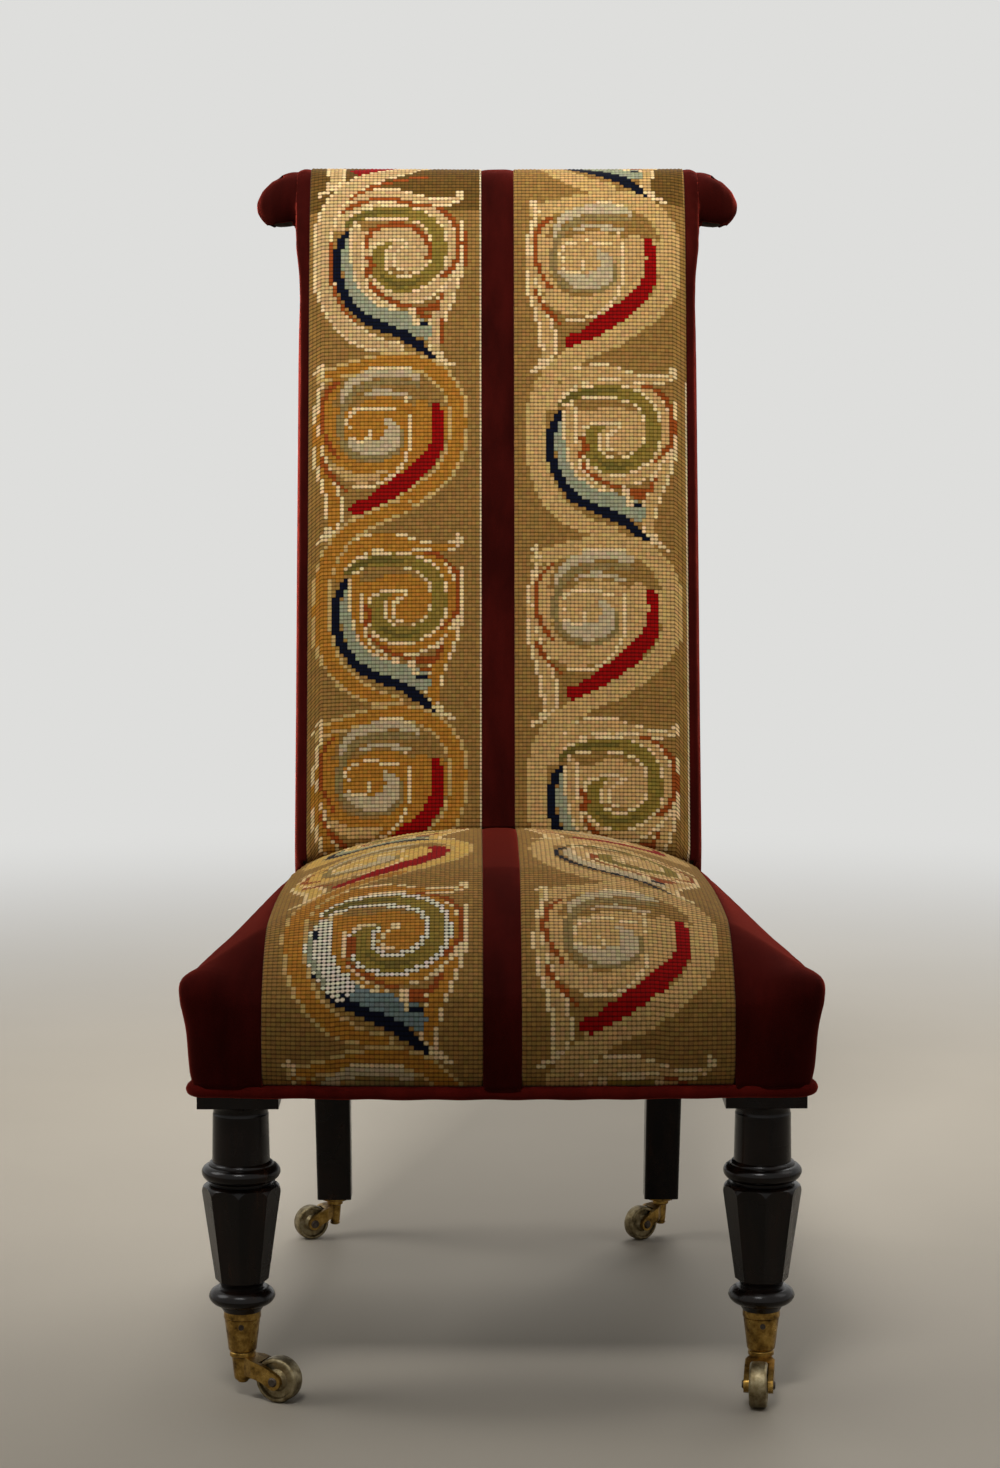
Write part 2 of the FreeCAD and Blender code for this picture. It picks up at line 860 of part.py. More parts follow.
def back_stuffing(seat_cut):
    inset = cover + fit_gap
    reach = back_half - inset
    pad = back_form(inset, rail_bottom, -reach, reach)
    for side in (-reach, reach):
        pad = rounded_side(pad, side, back_rounding - inset)
    top = roll_z - crest_core_radius
    low = 0.0
    lining_y = (lining_front + fit_gap) / rake_cosine
    frame_space = side_slab([
        (post_front_y - lining_y, low),
        (post_front_y - lining_y, rail_top),
        (post_front(top) - lining_y, top),
        (far, top),
        (far, low),
    ], -frame_half(seat_rear_y) - fit_gap, frame_half(seat_rear_y) + fit_gap)
    post_head = side_slab([
        (post_front(top) - lining_y, top),
        (post_front(roll_z) - lining_y, roll_z),
        (post_rear(roll_z) + fit_gap, roll_z),
        (post_rear(top) + fit_gap, top),
    ], frame_rear_half - post_width - fit_gap, frame_rear_half + fit_gap)
    tuck = box(-frame_rear_half, frame_rear_half, -far, far, 0, side_rear_crown)
    pad = pad.cut([frame_space, post_head, mirrored(post_head), tuck])
    ear = ear_form(inset)
    pad = pad.fuse([ear, mirrored(ear)])
    half = crest_core_half + fit_gap
    pad = pad.cut(crest_cylinder(crest_core_radius + fit_gap, -half, half))
    return one_solid(pad.cut(seat_cut))


def raked_sheet(x_low, x_high, z_low, z_high, start, thickness):
    # A flat sheet ahead of the posts; start is its distance from them.
    near = start / rake_cosine
    away = (start + thickness) / rake_cosine
    return side_slab([
        (post_front(z_low) - near, z_low),
        (post_front(z_high) - near, z_high),
        (post_front(z_high) - away, z_high),
        (post_front(z_low) - away, z_low),
    ], x_low, x_high)


def back_webbing():
    low = lower_rail_bottom
    high = roll_z - roll_radius
    pitch = (high - low) / back_strap_count
    reach = frame_rear_half - strap_end_inset
    height = strap_width * rake_cosine
    straps = []
    for index in range(back_strap_count):
        start = low + pitch * index + (pitch - height) / 2
        straps.append(raked_sheet(-reach, reach, start, start + height, 0, strap_thickness))
    return Part.makeCompound(straps)


def back_hessian():
    reach = frame_rear_half - strap_end_inset / 2
    return raked_sheet(-reach, reach, lower_rail_bottom, roll_z - roll_radius, strap_layer, lining)


# Seat upholstery

def dome(side, middle, t):
    return side + (middle - side) * (1 - abs(t) ** dome_power)


def seat_section(t, inset, shrink, bottom, rear_y):
    # An upright section that fans out from front to back; t runs from -1 at the left to 1 at the right.
    front_half = seat_front_half - inset
    rear_half = seat_rear_half - inset
    front_y = seat_front_y - seat_bow * (1 - t * t) + inset
    run = seat_rear_y - front_y
    drop = inset + shrink

    def place(u, z):
        share = u / run
        x = t * (front_half + (rear_half - front_half) * share)
        return vec(x, front_y + u, z)

    edge_z = dome(side_front_edge, mid_front_edge, t) - drop
    crown_z = dome(side_front_crown, mid_front_crown, t) - drop
    middle_z = dome(side_mid_crown, mid_mid_crown, t) - drop
    rear_z = dome(side_rear_crown, mid_rear_crown, t) - drop
    bulge = dome(side_face_bulge, mid_face_bulge, t)
    roll = dome(side_roll_depth, mid_roll_depth, t)
    length = rear_y - front_y
    return closed_wire([
        (shrink, bottom),
        (shrink, edge_z, shrink - bulge, (bottom + edge_z) / 2),
        (roll, crown_z, shrink + (roll - shrink) * front_roll_share,
         edge_z + (crown_z - edge_z) * front_roll_rise),
        (length, rear_z, run * crown_place, middle_z),
        (length, bottom),
    ], place)


def seat_form(inset, bottom, rear_y):
    eased = side_rounding * side_rounding_share
    right = [(0.4, 0.0), (0.75, 0.0), (0.93, 0.0), (0.98, eased), (1.0, side_rounding)]
    left = [(-t, shrink) for t, shrink in reversed(right)]
    stations = left + [(0.0, 0.0)] + right
    sections = [seat_section(t, inset, shrink, bottom, rear_y) for t, shrink in stations]
    return Part.makeLoft(sections, True, False)


def seat_cover_shell():
    outer = seat_form(0, skirt_bottom, seat_rear_y)
    inner = seat_form(cover, skirt_bottom, seat_rear_y)
    return outer.cut(inner)


def seat_panel(shell, x_low, x_high):
    half_gap = fit_gap / 2
    return one_solid(shell.common(box(x_low + half_gap, x_high - half_gap, -far, far, 0, far)))


def hessian_frustum(drop):
    low = (hessian_inset, rail_top - drop)
    high = (hessian_inset + hessian_slope, rail_top + hessian_rise - drop)
    rings = []
    for inset, z in (low, high):
        front = frame_front_y + inset
        rear = post_rear_y - inset
        front_half = frame_half(front) - inset
        rear_half = frame_half(rear) - inset
        corners = [(-front_half, front), (front_half, front), (rear_half, rear), (-rear_half, rear)]
        rings.append(closed_wire(corners, lambda x, y: vec(x, y, z)))
    return Part.makeLoft(rings, True, True)


def post_space():
    low_x = frame_rear_half - post_width - soft_gap
    space = box(low_x, far, post_front_y - soft_gap, far, 0, far)
    return space.fuse(mirrored(space))


def seat_hessian():
    sheet = hessian_frustum(0).cut(hessian_frustum(lining))
    sheet = sheet.common(box(-far, far, -far, far, rail_top, far))
    return one_solid(sheet.cut(post_space()))


def seat_stuffing():
    pad = seat_form(cover + fit_gap, skirt_bottom, seat_rear_y)
    pad = pad.cut(plan_slab(frame_outline(-fit_gap), 0, rail_top + fit_gap))
    pad = pad.cut(moved(hessian_frustum(0), 0, 0, fit_gap))
    return one_solid(pad)


def piping():
    offset = piping_radius + fit_gap
    side_run = post_front_y - frame_front_y - frame_corner_cut
    side_turn = math.atan2(frame_front_half - frame_rear_half, side_run)
    side_offset = offset / math.cos(side_turn)
    start_y = seat_rear_y - piping_radius
    corner_y = frame_front_y - offset
    rear_half = frame_half(start_y) + side_offset
    corner_half = frame_half(corner_y) + side_offset
    right = [
        vec(bow_flat / 2, corner_y - frame_bow, piping_z),
        vec(corner_half, corner_y, piping_z),
        vec(rear_half, start_y, piping_z),
    ]
    left = [vec(-point.x, point.y, point.z) for point in reversed(right)]
    path = rounded_path(left + right, [piping_corner, piping_front_bend, piping_front_bend, piping_corner])
    along = (left[1] - left[0]).normalize()
    ring = Part.Wire(Part.makeCircle(piping_radius, left[0], along))
    return path.makePipeShell([ring], True, False)


def strap_heights(index, count):
    # Alternate crossings go over and under; the ends lie against the rails.
    return [rail_bottom - strap_layer * ((index + crossing) % 2) for crossing in range(count)]


def strap_profile(start, end, crossings, heights):
    half = strap_width / 2
    tops = [(start, rail_bottom)]
    for place, height in zip(crossings, heights):
        tops.append((place - half, height))
        tops.append((place + half, height))
    tops.append((end, rail_bottom))
    under = [(place, height - strap_thickness) for place, height in reversed(tops)]
    return tops + under


def strap_places():
    middle_y = (frame_front_y + post_rear_y) / 2
    long_x = [long_strap_spacing * step for step in strap_steps]
    cross_y = [middle_y + cross_strap_spacing * step for step in strap_steps]
    return long_x, cross_y


def long_webbing():
    long_x, cross_y = strap_places()
    start = frame_front_y + strap_end_inset
    end = post_rear_y - strap_end_inset
    straps = []
    for index, x in enumerate(long_x):
        profile = strap_profile(start, end, cross_y, strap_heights(index, len(cross_y)))
        straps.append(side_slab(profile, x - strap_width / 2, x + strap_width / 2))
    return Part.makeCompound(straps)


def cross_webbing():
    long_x, cross_y = strap_places()
    straps = []
    for index, y in enumerate(cross_y):
        reach = frame_half(y) - strap_end_inset
        profile = strap_profile(-reach, reach, long_x, strap_heights(index + 1, len(long_x)))
        front = y - strap_width / 2
        face = Part.Face(closed_wire(profile, lambda x, z: vec(x, front, z)))
        straps.append(face.extrude(vec(0, strap_width, 0)))
    return Part.makeCompound(straps)


def bottom_cloth():
    top = rail_bottom - 2 * strap_layer - fit_gap
    sheet = plan_slab(frame_outline(cloth_inset), top - cloth, top)
    leg_low_x = leg_x - leg_block / 2 - soft_gap
    leg_high_y = front_leg_y + leg_block / 2 + soft_gap
    leg_space = box(leg_low_x, far, -far, leg_high_y, 0, far)
    for space in (leg_space, mirrored(leg_space), post_space()):
        sheet = sheet.cut(space)
    return one_solid(sheet)


# Coil springs

def biarc(start, start_along, end, end_along):
    # Two arcs that leave along one direction, arrive along the other and meet smoothly.
    across = end - start
    along = start_along + end_along
    spread = 2 * (1 - start_along.dot(end_along))
    reach = across.dot(along)
    handle = (-reach + math.sqrt(reach * reach + spread * across.dot(across))) / spread
    first = start + start_along * handle
    last = end - end_along * handle
    meet = (first + last) * 0.5
    edges = []
    for near, corner, away in ((start, first, meet), (meet, last, end)):
        half = (away - near).Length / 2
        middle = (near + away) * 0.5
        top = middle + (corner - middle) * (half / (handle + half))
        edges.append(Part.Arc(near, top, away).toShape())
    return edges


def spring_point(angle, height):
    share = angle / (2 * math.pi * spring_turns)
    radius = spring_waist_radius + (spring_end_radius - spring_waist_radius) * (2 * share - 1) ** 2
    return vec(radius * math.cos(angle), radius * math.sin(angle), height * share)


def spring_along(angle, height):
    step = 1e-4
    return (spring_point(angle + step, height) - spring_point(angle - step, height)).normalize()


def coil_spring(height):
    edges = []
    quarter = math.pi / 2
    for index in range(4 * spring_turns):
        start = index * quarter
        end = start + quarter
        edges += biarc(spring_point(start, height), spring_along(start, height),
                       spring_point(end, height), spring_along(end, height))
    path = Part.Wire(edges)
    ring = Part.Wire(Part.makeCircle(spring_wire_radius, spring_point(0, height), spring_along(0, height)))
    return path.makePipeShell([ring], True, False)


def least_spring_gap(height):
    steps = 48
    near = 36
    points = [spring_point(2 * math.pi * step / steps, height) for step in range(steps * spring_turns + 1)]
    least = far
    for index, point in enumerate(points):
        for other in points[index + near:]:
            least = min(least, (other - point).Length)
    return least - 2 * spring_wire_radius


def seat_springs():
    low = rail_bottom + soft_gap + spring_wire_radius
    high = rail_top + hessian_rise - lining - soft_gap - spring_wire_radius
    height = high - low
    spring = coil_spring(height)
    places = [(0.0, spring_centre_y)]
    for y, x in spring_rows:
        places += [(-x, y), (x, y)]
    print("least gap inside a seat spring", round(least_spring_gap(height), 2))
    return Part.makeCompound([moved(spring, x, y, low) for x, y in places])


# Casters, each built at the origin with its wheel trailing towards +X

def caster_sizes(front):
    if front:
        return front_wheel_diameter / 2, front_wheel_width, front_trail, front_swivel_height
    return rear_wheel_diameter / 2, rear_wheel_width, rear_trail, rear_swivel_height


def wheel(front):
    radius, width, trail, swivel = caster_sizes(front)
    half = width / 2
    hub = radius * wheel_hub_share
    recess = width * wheel_recess_share
    rim = radius * wheel_rim_share
    bore = axle_radius + running_clearance
    rounding = width * wheel_rounding_share
    bulge = rounding * (1 - math.sqrt(0.5))
    profile = []
    for side in (-1, 1):
        face = [
            (bore, side * half),
            (hub, side * half),
            (hub + recess, side * (half - recess)),
            (rim, side * (half - recess)),
            (rim + wheel_rim_step, side * half),
            (radius - rounding, side * half),
        ]
        profile += face if side < 0 else face[::-1]
    tread = radius - tread_crown
    low = (tread, -half + rounding, radius - bulge, -half + bulge)
    high = (tread, half - rounding, radius, 0)
    top = (radius - rounding, half, radius - bulge, half - bulge)
    corners = profile[:6] + [low, high, top] + profile[7:]
    disc = turned(corners)
    disc.rotate(vec(0, 0, 0), vec(1, 0, 0), 90)
    return moved(disc, trail, 0, radius)


def axle(front):
    radius, width, trail, swivel = caster_sizes(front)
    half = width / 2 + wheel_side_gap + fork_arm
    end = half + axle_head_height
    pin = turned([
        (0, -end),
        (axle_head_radius * axle_head_taper, -end),
        (axle_head_radius, -half),
        (axle_radius, -half),
        (axle_radius, half),
        (axle_head_radius, half),
        (axle_head_radius * axle_head_taper, end),
        (0, end),
    ])
    pin.rotate(vec(0, 0, 0), vec(1, 0, 0), 90)
    return moved(pin, trail, 0, radius)


def fork(front):
    radius, width, trail, swivel = caster_sizes(front)
    gap = width / 2 + wheel_side_gap
    half = gap + fork_arm
    eye = radius * fork_eye_share
    top = swivel - swivel_gap
    boss_low = pivot_button_bottom + pivot_head_height + swivel_gap
    boss_radius = trail - radius - wheel_rim_gap - boss_gap
    boss_radius = min(boss_radius, pivot_radius + boss_wall)
    lip = boss_radius + boss_lip
    lip_low = top - boss_lip_height
    boss = turned([
        (0, boss_low),
        (boss_radius * boss_foot_share, boss_low),
        (boss_radius * boss_foot_flare, boss_low + boss_foot_height),
        (boss_radius, lip_low - boss_lip_slope),
        (lip, lip_low),
        (lip, top - boss_lip_edge),
        (lip - boss_lip_edge, top),
        (0, top),
    ])

    def on_eye(degrees):
        angle = math.radians(degrees)
        return trail + eye * math.cos(angle), radius + eye * math.sin(angle)

    arm_top = (boss_radius * arm_root_share, top - arm_drop)
    arm_low = (boss_radius * arm_root_share, boss_low + arm_rise)
    eye_top = on_eye(fork_eye_upper)
    eye_low = on_eye(fork_eye_lower)
    eye_middle = on_eye((fork_eye_upper + fork_eye_lower) / 2)
    bow = trail * fork_bow_share
    side_view = Part.Face(closed_wire([
        (0, arm_low[1]),
        (0, arm_top[1]),
        arm_top,
        bowed(arm_top, eye_top, -bow),
        eye_low + eye_middle,
        bowed(eye_low, arm_low, bow),
    ], lambda s, z: vec(s, -half, z)))
    arms = side_view.extrude(vec(0, 2 * half, 0))
    neck = boss_radius * neck_share
    neck_end = boss_radius * neck_run_share
    spread = boss_radius + fork_spread
    plan = plan_slab([
        (0, -neck),
        (neck_end, -neck),
        (spread, -half),
        (trail + 2 * eye, -half),
        (trail + 2 * eye, half),
        (spread, half),
        (neck_end, neck),
        (0, neck),
    ], 0, far)
    arms = arms.common(plan)
    wheel_space = Part.makeCylinder(radius + wheel_rim_gap, 2 * gap, vec(trail, -gap, radius), vec(0, 1, 0))
    body = boss.fuse(arms.cut(wheel_space)).removeSplitter()
    bore = Part.makeCylinder(pivot_radius + running_clearance, far, vec(0, 0, 0), vec(0, 0, 1))
    eyes = Part.makeCylinder(axle_radius + axle_fit, 4 * half, vec(trail, -2 * half, radius), vec(0, 1, 0))
    return one_solid(body.cut(bore).cut(eyes))


def pivot(front):
    radius, width, trail, swivel = caster_sizes(front)
    seat = swivel + (cup_floor if front else plate_thickness / 2)
    head_top = seat + (pivot_head_height if front else plate_thickness / 2)
    button_top = pivot_button_bottom + pivot_head_height
    button = pivot_radius + pivot_button_lip
    button_flat = (button * pivot_button_flat, pivot_button_bottom)
    return turned([
        (0, pivot_button_bottom),
        button_flat,
        bowed(button_flat, (button, button_top), pivot_button_bulge),
        (pivot_radius, button_top),
        (pivot_radius, seat),
        (pivot_head_radius, seat),
        (pivot_head_radius, head_top),
        (0, head_top),
    ])


def cup():
    rim_low = toe_z - cup_band
    share = (rim_low - cup_base) / cup_height
    rim_foot = cup_foot_radius + (cup_rim_radius - cup_foot_radius) * share
    foot_bulge = cup_rounding * (1 - math.sqrt(0.5))
    floor_top = cup_base + cup_floor
    inner_foot = cup_foot_radius - cup_wall + (cup_rim_radius - cup_foot_radius) * cup_floor / cup_height
    bore = pivot_radius + joint_clearance
    shell = turned([
        (bore, cup_base),
        (cup_foot_radius - cup_rounding, cup_base),
        (cup_foot_radius, cup_base + cup_rounding, cup_foot_radius - foot_bulge, cup_base + foot_bulge),
        (rim_foot, rim_low - cup_groove),
        (rim_foot - cup_groove, rim_low),
        (cup_rim_radius, rim_low + cup_groove),
        (cup_rim_radius, toe_z),
        (cup_rim_radius - cup_wall, toe_z),
        (inner_foot, floor_top),
        (bore, floor_top),
    ])
    cup_shell = moved(shell, leg_x, front_leg_y, 0)
    for sign in (-1, 1):
        cup_shell = cup_shell.cut(cup_screw(sign, joint_clearance))
    return one_solid(cup_shell)


def cup_screw(sign, grow):
    # A round-headed screw through the cup into the toe, at the front and at the back of the right leg.
    z = toe_z - cup_screw_drop
    share = (z - cup_base) / cup_height
    surface = cup_foot_radius + (cup_rim_radius - cup_foot_radius) * share
    head = vec(leg_x, front_leg_y + sign * (surface + fit_gap - grow / 2), z)
    along = vec(0, -sign, 0)
    shank = cup_screw_radius + grow
    return screw(head, along, shank, cup_screw_head + grow, cup_screw_length + grow, cup_screw_head_height)


def plate():
    disc = turned([
        (0, rear_swivel_height),
        (plate_radius - plate_chamfer, rear_swivel_height),
        (plate_radius, rear_swivel_height + plate_chamfer),
        (plate_radius, rear_toe_z),
        (0, rear_toe_z),
    ])
    hole = Part.makeCylinder(pivot_radius + joint_clearance, far)
    seat_low = rear_swivel_height + plate_thickness / 2
    head = Part.makeCylinder(pivot_head_radius + joint_clearance, far, vec(0, 0, seat_low - joint_clearance))
    disc = moved(disc.cut(hole).cut(head), post_x, toe_y, 0)
    for space in plate_screws(joint_clearance):
        disc = disc.cut(space)
    return one_solid(disc)


def plate_screws(grow):
    # Countersunk screws through the right plate into the end of the back leg.
    low = rear_swivel_height
    high = low + plate_screw_length + grow
    shank = plate_screw_radius + grow
    head = plate_screw_head + grow
    profile = [
        (0, low - grow),
        (head, low - grow),
        (shank, low + head - shank),
        (shank, high),
        (0, high),
    ]
    screws = []
    for turn in (90, 210, 330):
        x = post_x + plate_screw_circle * math.cos(math.radians(turn))
        y = toe_y + plate_screw_circle * math.sin(math.radians(turn))
        screws.append(moved(turned(profile), x, y, 0))
    return screws


def add_caster(parts, name, front, x, y, turn):
    for piece, shape in (("fork", fork(front)), ("wheel", wheel(front)), ("axle", axle(front)),
                         ("pivot", pivot(front))):
        shape.rotate(vec(0, 0, 0), vec(0, 0, 1), turn)
        parts["caster_" + name + "_" + piece] = moved(shape, x, y, 0)


# The whole chair

def pair(parts, name, right_shape):
    parts[name + "_right"] = right_shape
    parts[name + "_left"] = mirrored(right_shape)


def build_frame(parts):
    screw_holes = corner_screws(joint_clearance)
    all_holes = screw_holes + [mirrored(hole) for hole in screw_holes]
    pair(parts, "front_leg", front_leg())
    pair(parts, "back_post", back_post())
    parts["seat_rail_front"] = one_solid(front_rail().cut(all_holes))
    parts["seat_rail_rear"] = one_solid(rear_rail().cut(all_holes))
    pair(parts, "seat_rail", one_solid(side_rail().cut(all_holes)))
    pair(parts, "corner_block_front", corner_block(rail_inner_front_y, corner_brace_front, 1))
    pair(parts, "corner_block_rear", corner_block(rail_inner_rear_y, corner_brace_rear, -1))
    screws = corner_screws(0)
    parts["corner_block_screws"] = Part.makeCompound(screws + [mirrored(one) for one in screws])
    parts["back_rail_lower"] = lower_rail()
    parts["crest_rail"] = crest_rail()
    parts["crest_dowels"] = Part.makeCompound([crest_dowel(0), mirrored(crest_dowel(0))])


def build_seat(parts):
    parts["seat_webbing_long"] = long_webbing()
    parts["seat_webbing_cross"] = cross_webbing()
    parts["seat_springs"] = seat_springs()
    parts["seat_hessian"] = seat_hessian()
    parts["seat_stuffing"] = seat_stuffing()
    shell = seat_cover_shell()
    parts["seat_velvet_centre"] = seat_panel(shell, -strip_inner, strip_inner)
    pair(parts, "seat_needlework", seat_panel(shell, strip_inner, seat_strip_edge))
    pair(parts, "seat_velvet", seat_panel(shell, seat_strip_edge, far))
    parts["seat_piping"] = piping()
    parts["bottom_cloth"] = bottom_cloth()


def build_back(parts):
    seat_cut = seat_form(-soft_gap, skirt_bottom - overcut, seat_rear_y + soft_gap)
    half_gap = fit_gap / 2
    parts["back_webbing"] = back_webbing()
    parts["back_hessian"] = back_hessian()
    parts["back_stuffing"] = back_stuffing(seat_cut)
    parts["back_velvet_centre"] = back_strip(-strip_inner + half_gap, strip_inner - half_gap, seat_cut)
    pair(parts, "back_needlework", back_strip(strip_inner + half_gap, strip_edge - half_gap, seat_cut))
    pair(parts, "back_velvet", back_border(seat_cut))
    pair(parts, "crest_cap", crest_cap())
    parts["outside_back"] = outside_back()


def build_casters(parts):
    add_caster(parts, "front_left", True, -leg_x, front_leg_y, front_left_swivel)
    add_caster(parts, "front_right", True, leg_x, front_leg_y, front_right_swivel)
    add_caster(parts, "rear_left", False, -post_x, toe_y, rear_left_swivel)
    add_caster(parts, "rear_right", False, post_x, toe_y, rear_right_swivel)
    pair(parts, "caster_cup", cup())
    pair(parts, "caster_plate", plate())
    screws = [cup_screw(-1, 0), cup_screw(1, 0)] + plate_screws(0)
    parts["caster_screws"] = Part.makeCompound(screws + [mirrored(one) for one in screws])


def main():
    os.makedirs("parts", exist_ok=True)
    parts = {}
    build_frame(parts)
    build_seat(parts)
    build_back(parts)
    build_casters(parts)
    for name, shape in parts.items():
        shape.exportStep("parts/" + name + ".step")
        print(name, len(shape.Solids), shape.isValid(), round(shape.Volume))


main()
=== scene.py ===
import bpy
import bmesh
import math
import numpy as np
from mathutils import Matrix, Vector
from mathutils.bvhtree import BVHTree


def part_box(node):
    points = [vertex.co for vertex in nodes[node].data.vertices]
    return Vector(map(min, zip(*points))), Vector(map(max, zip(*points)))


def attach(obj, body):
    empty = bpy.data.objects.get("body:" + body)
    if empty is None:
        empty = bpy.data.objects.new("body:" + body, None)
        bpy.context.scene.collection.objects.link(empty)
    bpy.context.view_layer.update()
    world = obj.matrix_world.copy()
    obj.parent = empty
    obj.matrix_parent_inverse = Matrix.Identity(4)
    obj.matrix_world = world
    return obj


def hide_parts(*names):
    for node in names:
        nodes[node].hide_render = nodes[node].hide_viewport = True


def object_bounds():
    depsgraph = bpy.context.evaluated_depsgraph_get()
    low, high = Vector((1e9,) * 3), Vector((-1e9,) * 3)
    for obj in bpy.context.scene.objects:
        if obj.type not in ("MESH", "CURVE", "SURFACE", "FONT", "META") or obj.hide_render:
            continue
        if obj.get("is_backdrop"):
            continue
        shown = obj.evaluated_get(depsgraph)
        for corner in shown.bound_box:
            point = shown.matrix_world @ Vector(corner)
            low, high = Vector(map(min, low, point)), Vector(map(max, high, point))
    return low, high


# A low sewing chair in burgundy velvet and canvas needlework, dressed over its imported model.
# Metres; X across, Y to the back, Z up; the chair faces -Y.

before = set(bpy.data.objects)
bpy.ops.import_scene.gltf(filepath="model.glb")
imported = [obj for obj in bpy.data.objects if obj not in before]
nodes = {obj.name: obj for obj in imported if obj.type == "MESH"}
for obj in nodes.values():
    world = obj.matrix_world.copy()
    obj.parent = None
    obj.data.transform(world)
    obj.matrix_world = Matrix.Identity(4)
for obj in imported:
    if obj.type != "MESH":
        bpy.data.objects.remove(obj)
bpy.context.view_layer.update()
scene = bpy.context.scene
print("frame loaded,", len(nodes), "nodes")

# Sizes shared by several pieces, as the frame has them
chair = {
    "bandHalf": 0.015,       # velvet band down the middle
    "backEdge": 0.175,       # outer edge of the back's needlework
    "seatEdgeLeft": 0.187,   # outer edges of the seat's needlework
    "seatEdgeRight": 0.181,
    "backHalf": 0.186,
    "rake": math.radians(12.0),
    "sweep": math.radians(20.0),
    "sweepRadius": 0.250,
    "rollRadius": 0.030,
    "rollY": 0.2983,
    "rollZ": 0.981,
    "skirtBottom": 0.2606,
    "seatRear": 0.138,
    "seatMiddle": -0.09,
}


# Materials

def shade(r, g, b):
    # a colour as it looks on screen, 0 to 255, made linear
    def linear(c):
        c = c / 255.0
        return c / 12.92 if c <= 0.04045 else ((c + 0.055) / 1.055) ** 2.4
    return (linear(r), linear(g), linear(b), 1.0)


def startMaterial(name, **sockets):
    mat = bpy.data.materials.new(name)
    mat.use_nodes = True
    shader = mat.node_tree.nodes["Principled BSDF"]
    for socket, value in sockets.items():
        shader.inputs[socket.replace("_", " ")].default_value = value
    return mat, mat.node_tree, shader


def feed(tree, socket, value):
    if isinstance(value, bpy.types.NodeSocket):
        tree.links.new(value, socket)
    else:
        socket.default_value = value


def addNode(tree, kind, settings=None, **sockets):
    made = tree.nodes.new(kind)
    for key, value in (settings or {}).items():
        setattr(made, key, value)
    for socket, value in sockets.items():
        feed(tree, made.inputs[socket.replace("_", " ")], value)
    return made


def objectPoint(tree, scale=(1.0, 1.0, 1.0)):
    place = addNode(tree, "ShaderNodeTexCoord")
    mapping = addNode(tree, "ShaderNodeMapping", Vector=place.outputs["Object"], Scale=scale)
    return mapping.outputs["Vector"]


def noise(tree, vector, scale, detail=3.0, rough=0.5):
    made = addNode(tree, "ShaderNodeTexNoise", Vector=vector, Scale=scale, Detail=detail, Roughness=rough)
    return made.outputs["Fac"]


def ramp(tree, fac, stops):
    made = addNode(tree, "ShaderNodeValToRGB", Fac=fac)
    spots = made.color_ramp.elements
    while len(spots) < len(stops):
        spots.new(0.5)
    for spot, (place, colour) in zip(spots, stops):
        spot.position = place
        spot.color = colour
    return made.outputs["Color"]


def grey(level):
    return (level, level, level, 1.0)


def mixColour(tree, fac, a, b, blend="MIX"):
    made = tree.nodes.new("ShaderNodeMix")
    made.data_type = "RGBA"
    made.blend_type = blend
    for socket, value in ((made.inputs[0], fac), (made.inputs[6], a), (made.inputs[7], b)):
        feed(tree, socket, value)
    return made.outputs[2]


def sums(tree, operation, a, b=0.5):
    made = tree.nodes.new("ShaderNodeMath")
    made.operation = operation
    for socket, value in zip(made.inputs, (a, b)):
        feed(tree, socket, value)
    return made.outputs[0]


def bumpFrom(tree, shader, height, strength, distance):
    made = addNode(tree, "ShaderNodeBump", Height=height, Strength=strength, Distance=distance)
    tree.links.new(made.outputs["Normal"], shader.inputs["Normal"])


def makeWood():
    look = {"deep": shade(6, 3, 2), "brown": shade(24, 13, 7), "warm": shade(50, 28, 14)}
    mat, tree, shader = startMaterial("rosewoodPolish", Roughness=0.3, Specular_IOR_Level=0.22)
    point = objectPoint(tree, scale=(1.0, 1.0, 0.09))
    figure = noise(tree, point, 95.0, 6.0, 0.62)
    streak = noise(tree, objectPoint(tree, scale=(1.0, 1.0, 0.03)), 420.0, 3.0)
    colour = ramp(tree, figure, [(0.36, look["deep"]), (0.58, look["brown"]), (0.8, look["warm"])])
    colour = mixColour(tree, sums(tree, "MULTIPLY", streak, 0.55), colour, look["deep"])
    tree.links.new(colour, shader.inputs["Base Color"])
    wear = noise(tree, objectPoint(tree), 30.0, 4.0)
    rough = ramp(tree, wear, [(0.3, grey(0.16)), (0.7, grey(0.34))])
    tree.links.new(rough, shader.inputs["Roughness"])
    bumpFrom(tree, shader, streak, 0.12, 0.0006)
    return mat


def makeInsideWood():
    look = {"pale": shade(190, 150, 104), "dark": shade(142, 104, 66)}
    mat, tree, shader = startMaterial("beechInside", Roughness=0.62)
    point = objectPoint(tree, scale=(0.12, 1.0, 1.0))
    figure = noise(tree, point, 160.0, 5.0, 0.6)
    colour = ramp(tree, figure, [(0.35, look["dark"]), (0.7, look["pale"])])
    tree.links.new(colour, shader.inputs["Base Color"])
    bumpFrom(tree, shader, figure, 0.15, 0.0006)
    return mat


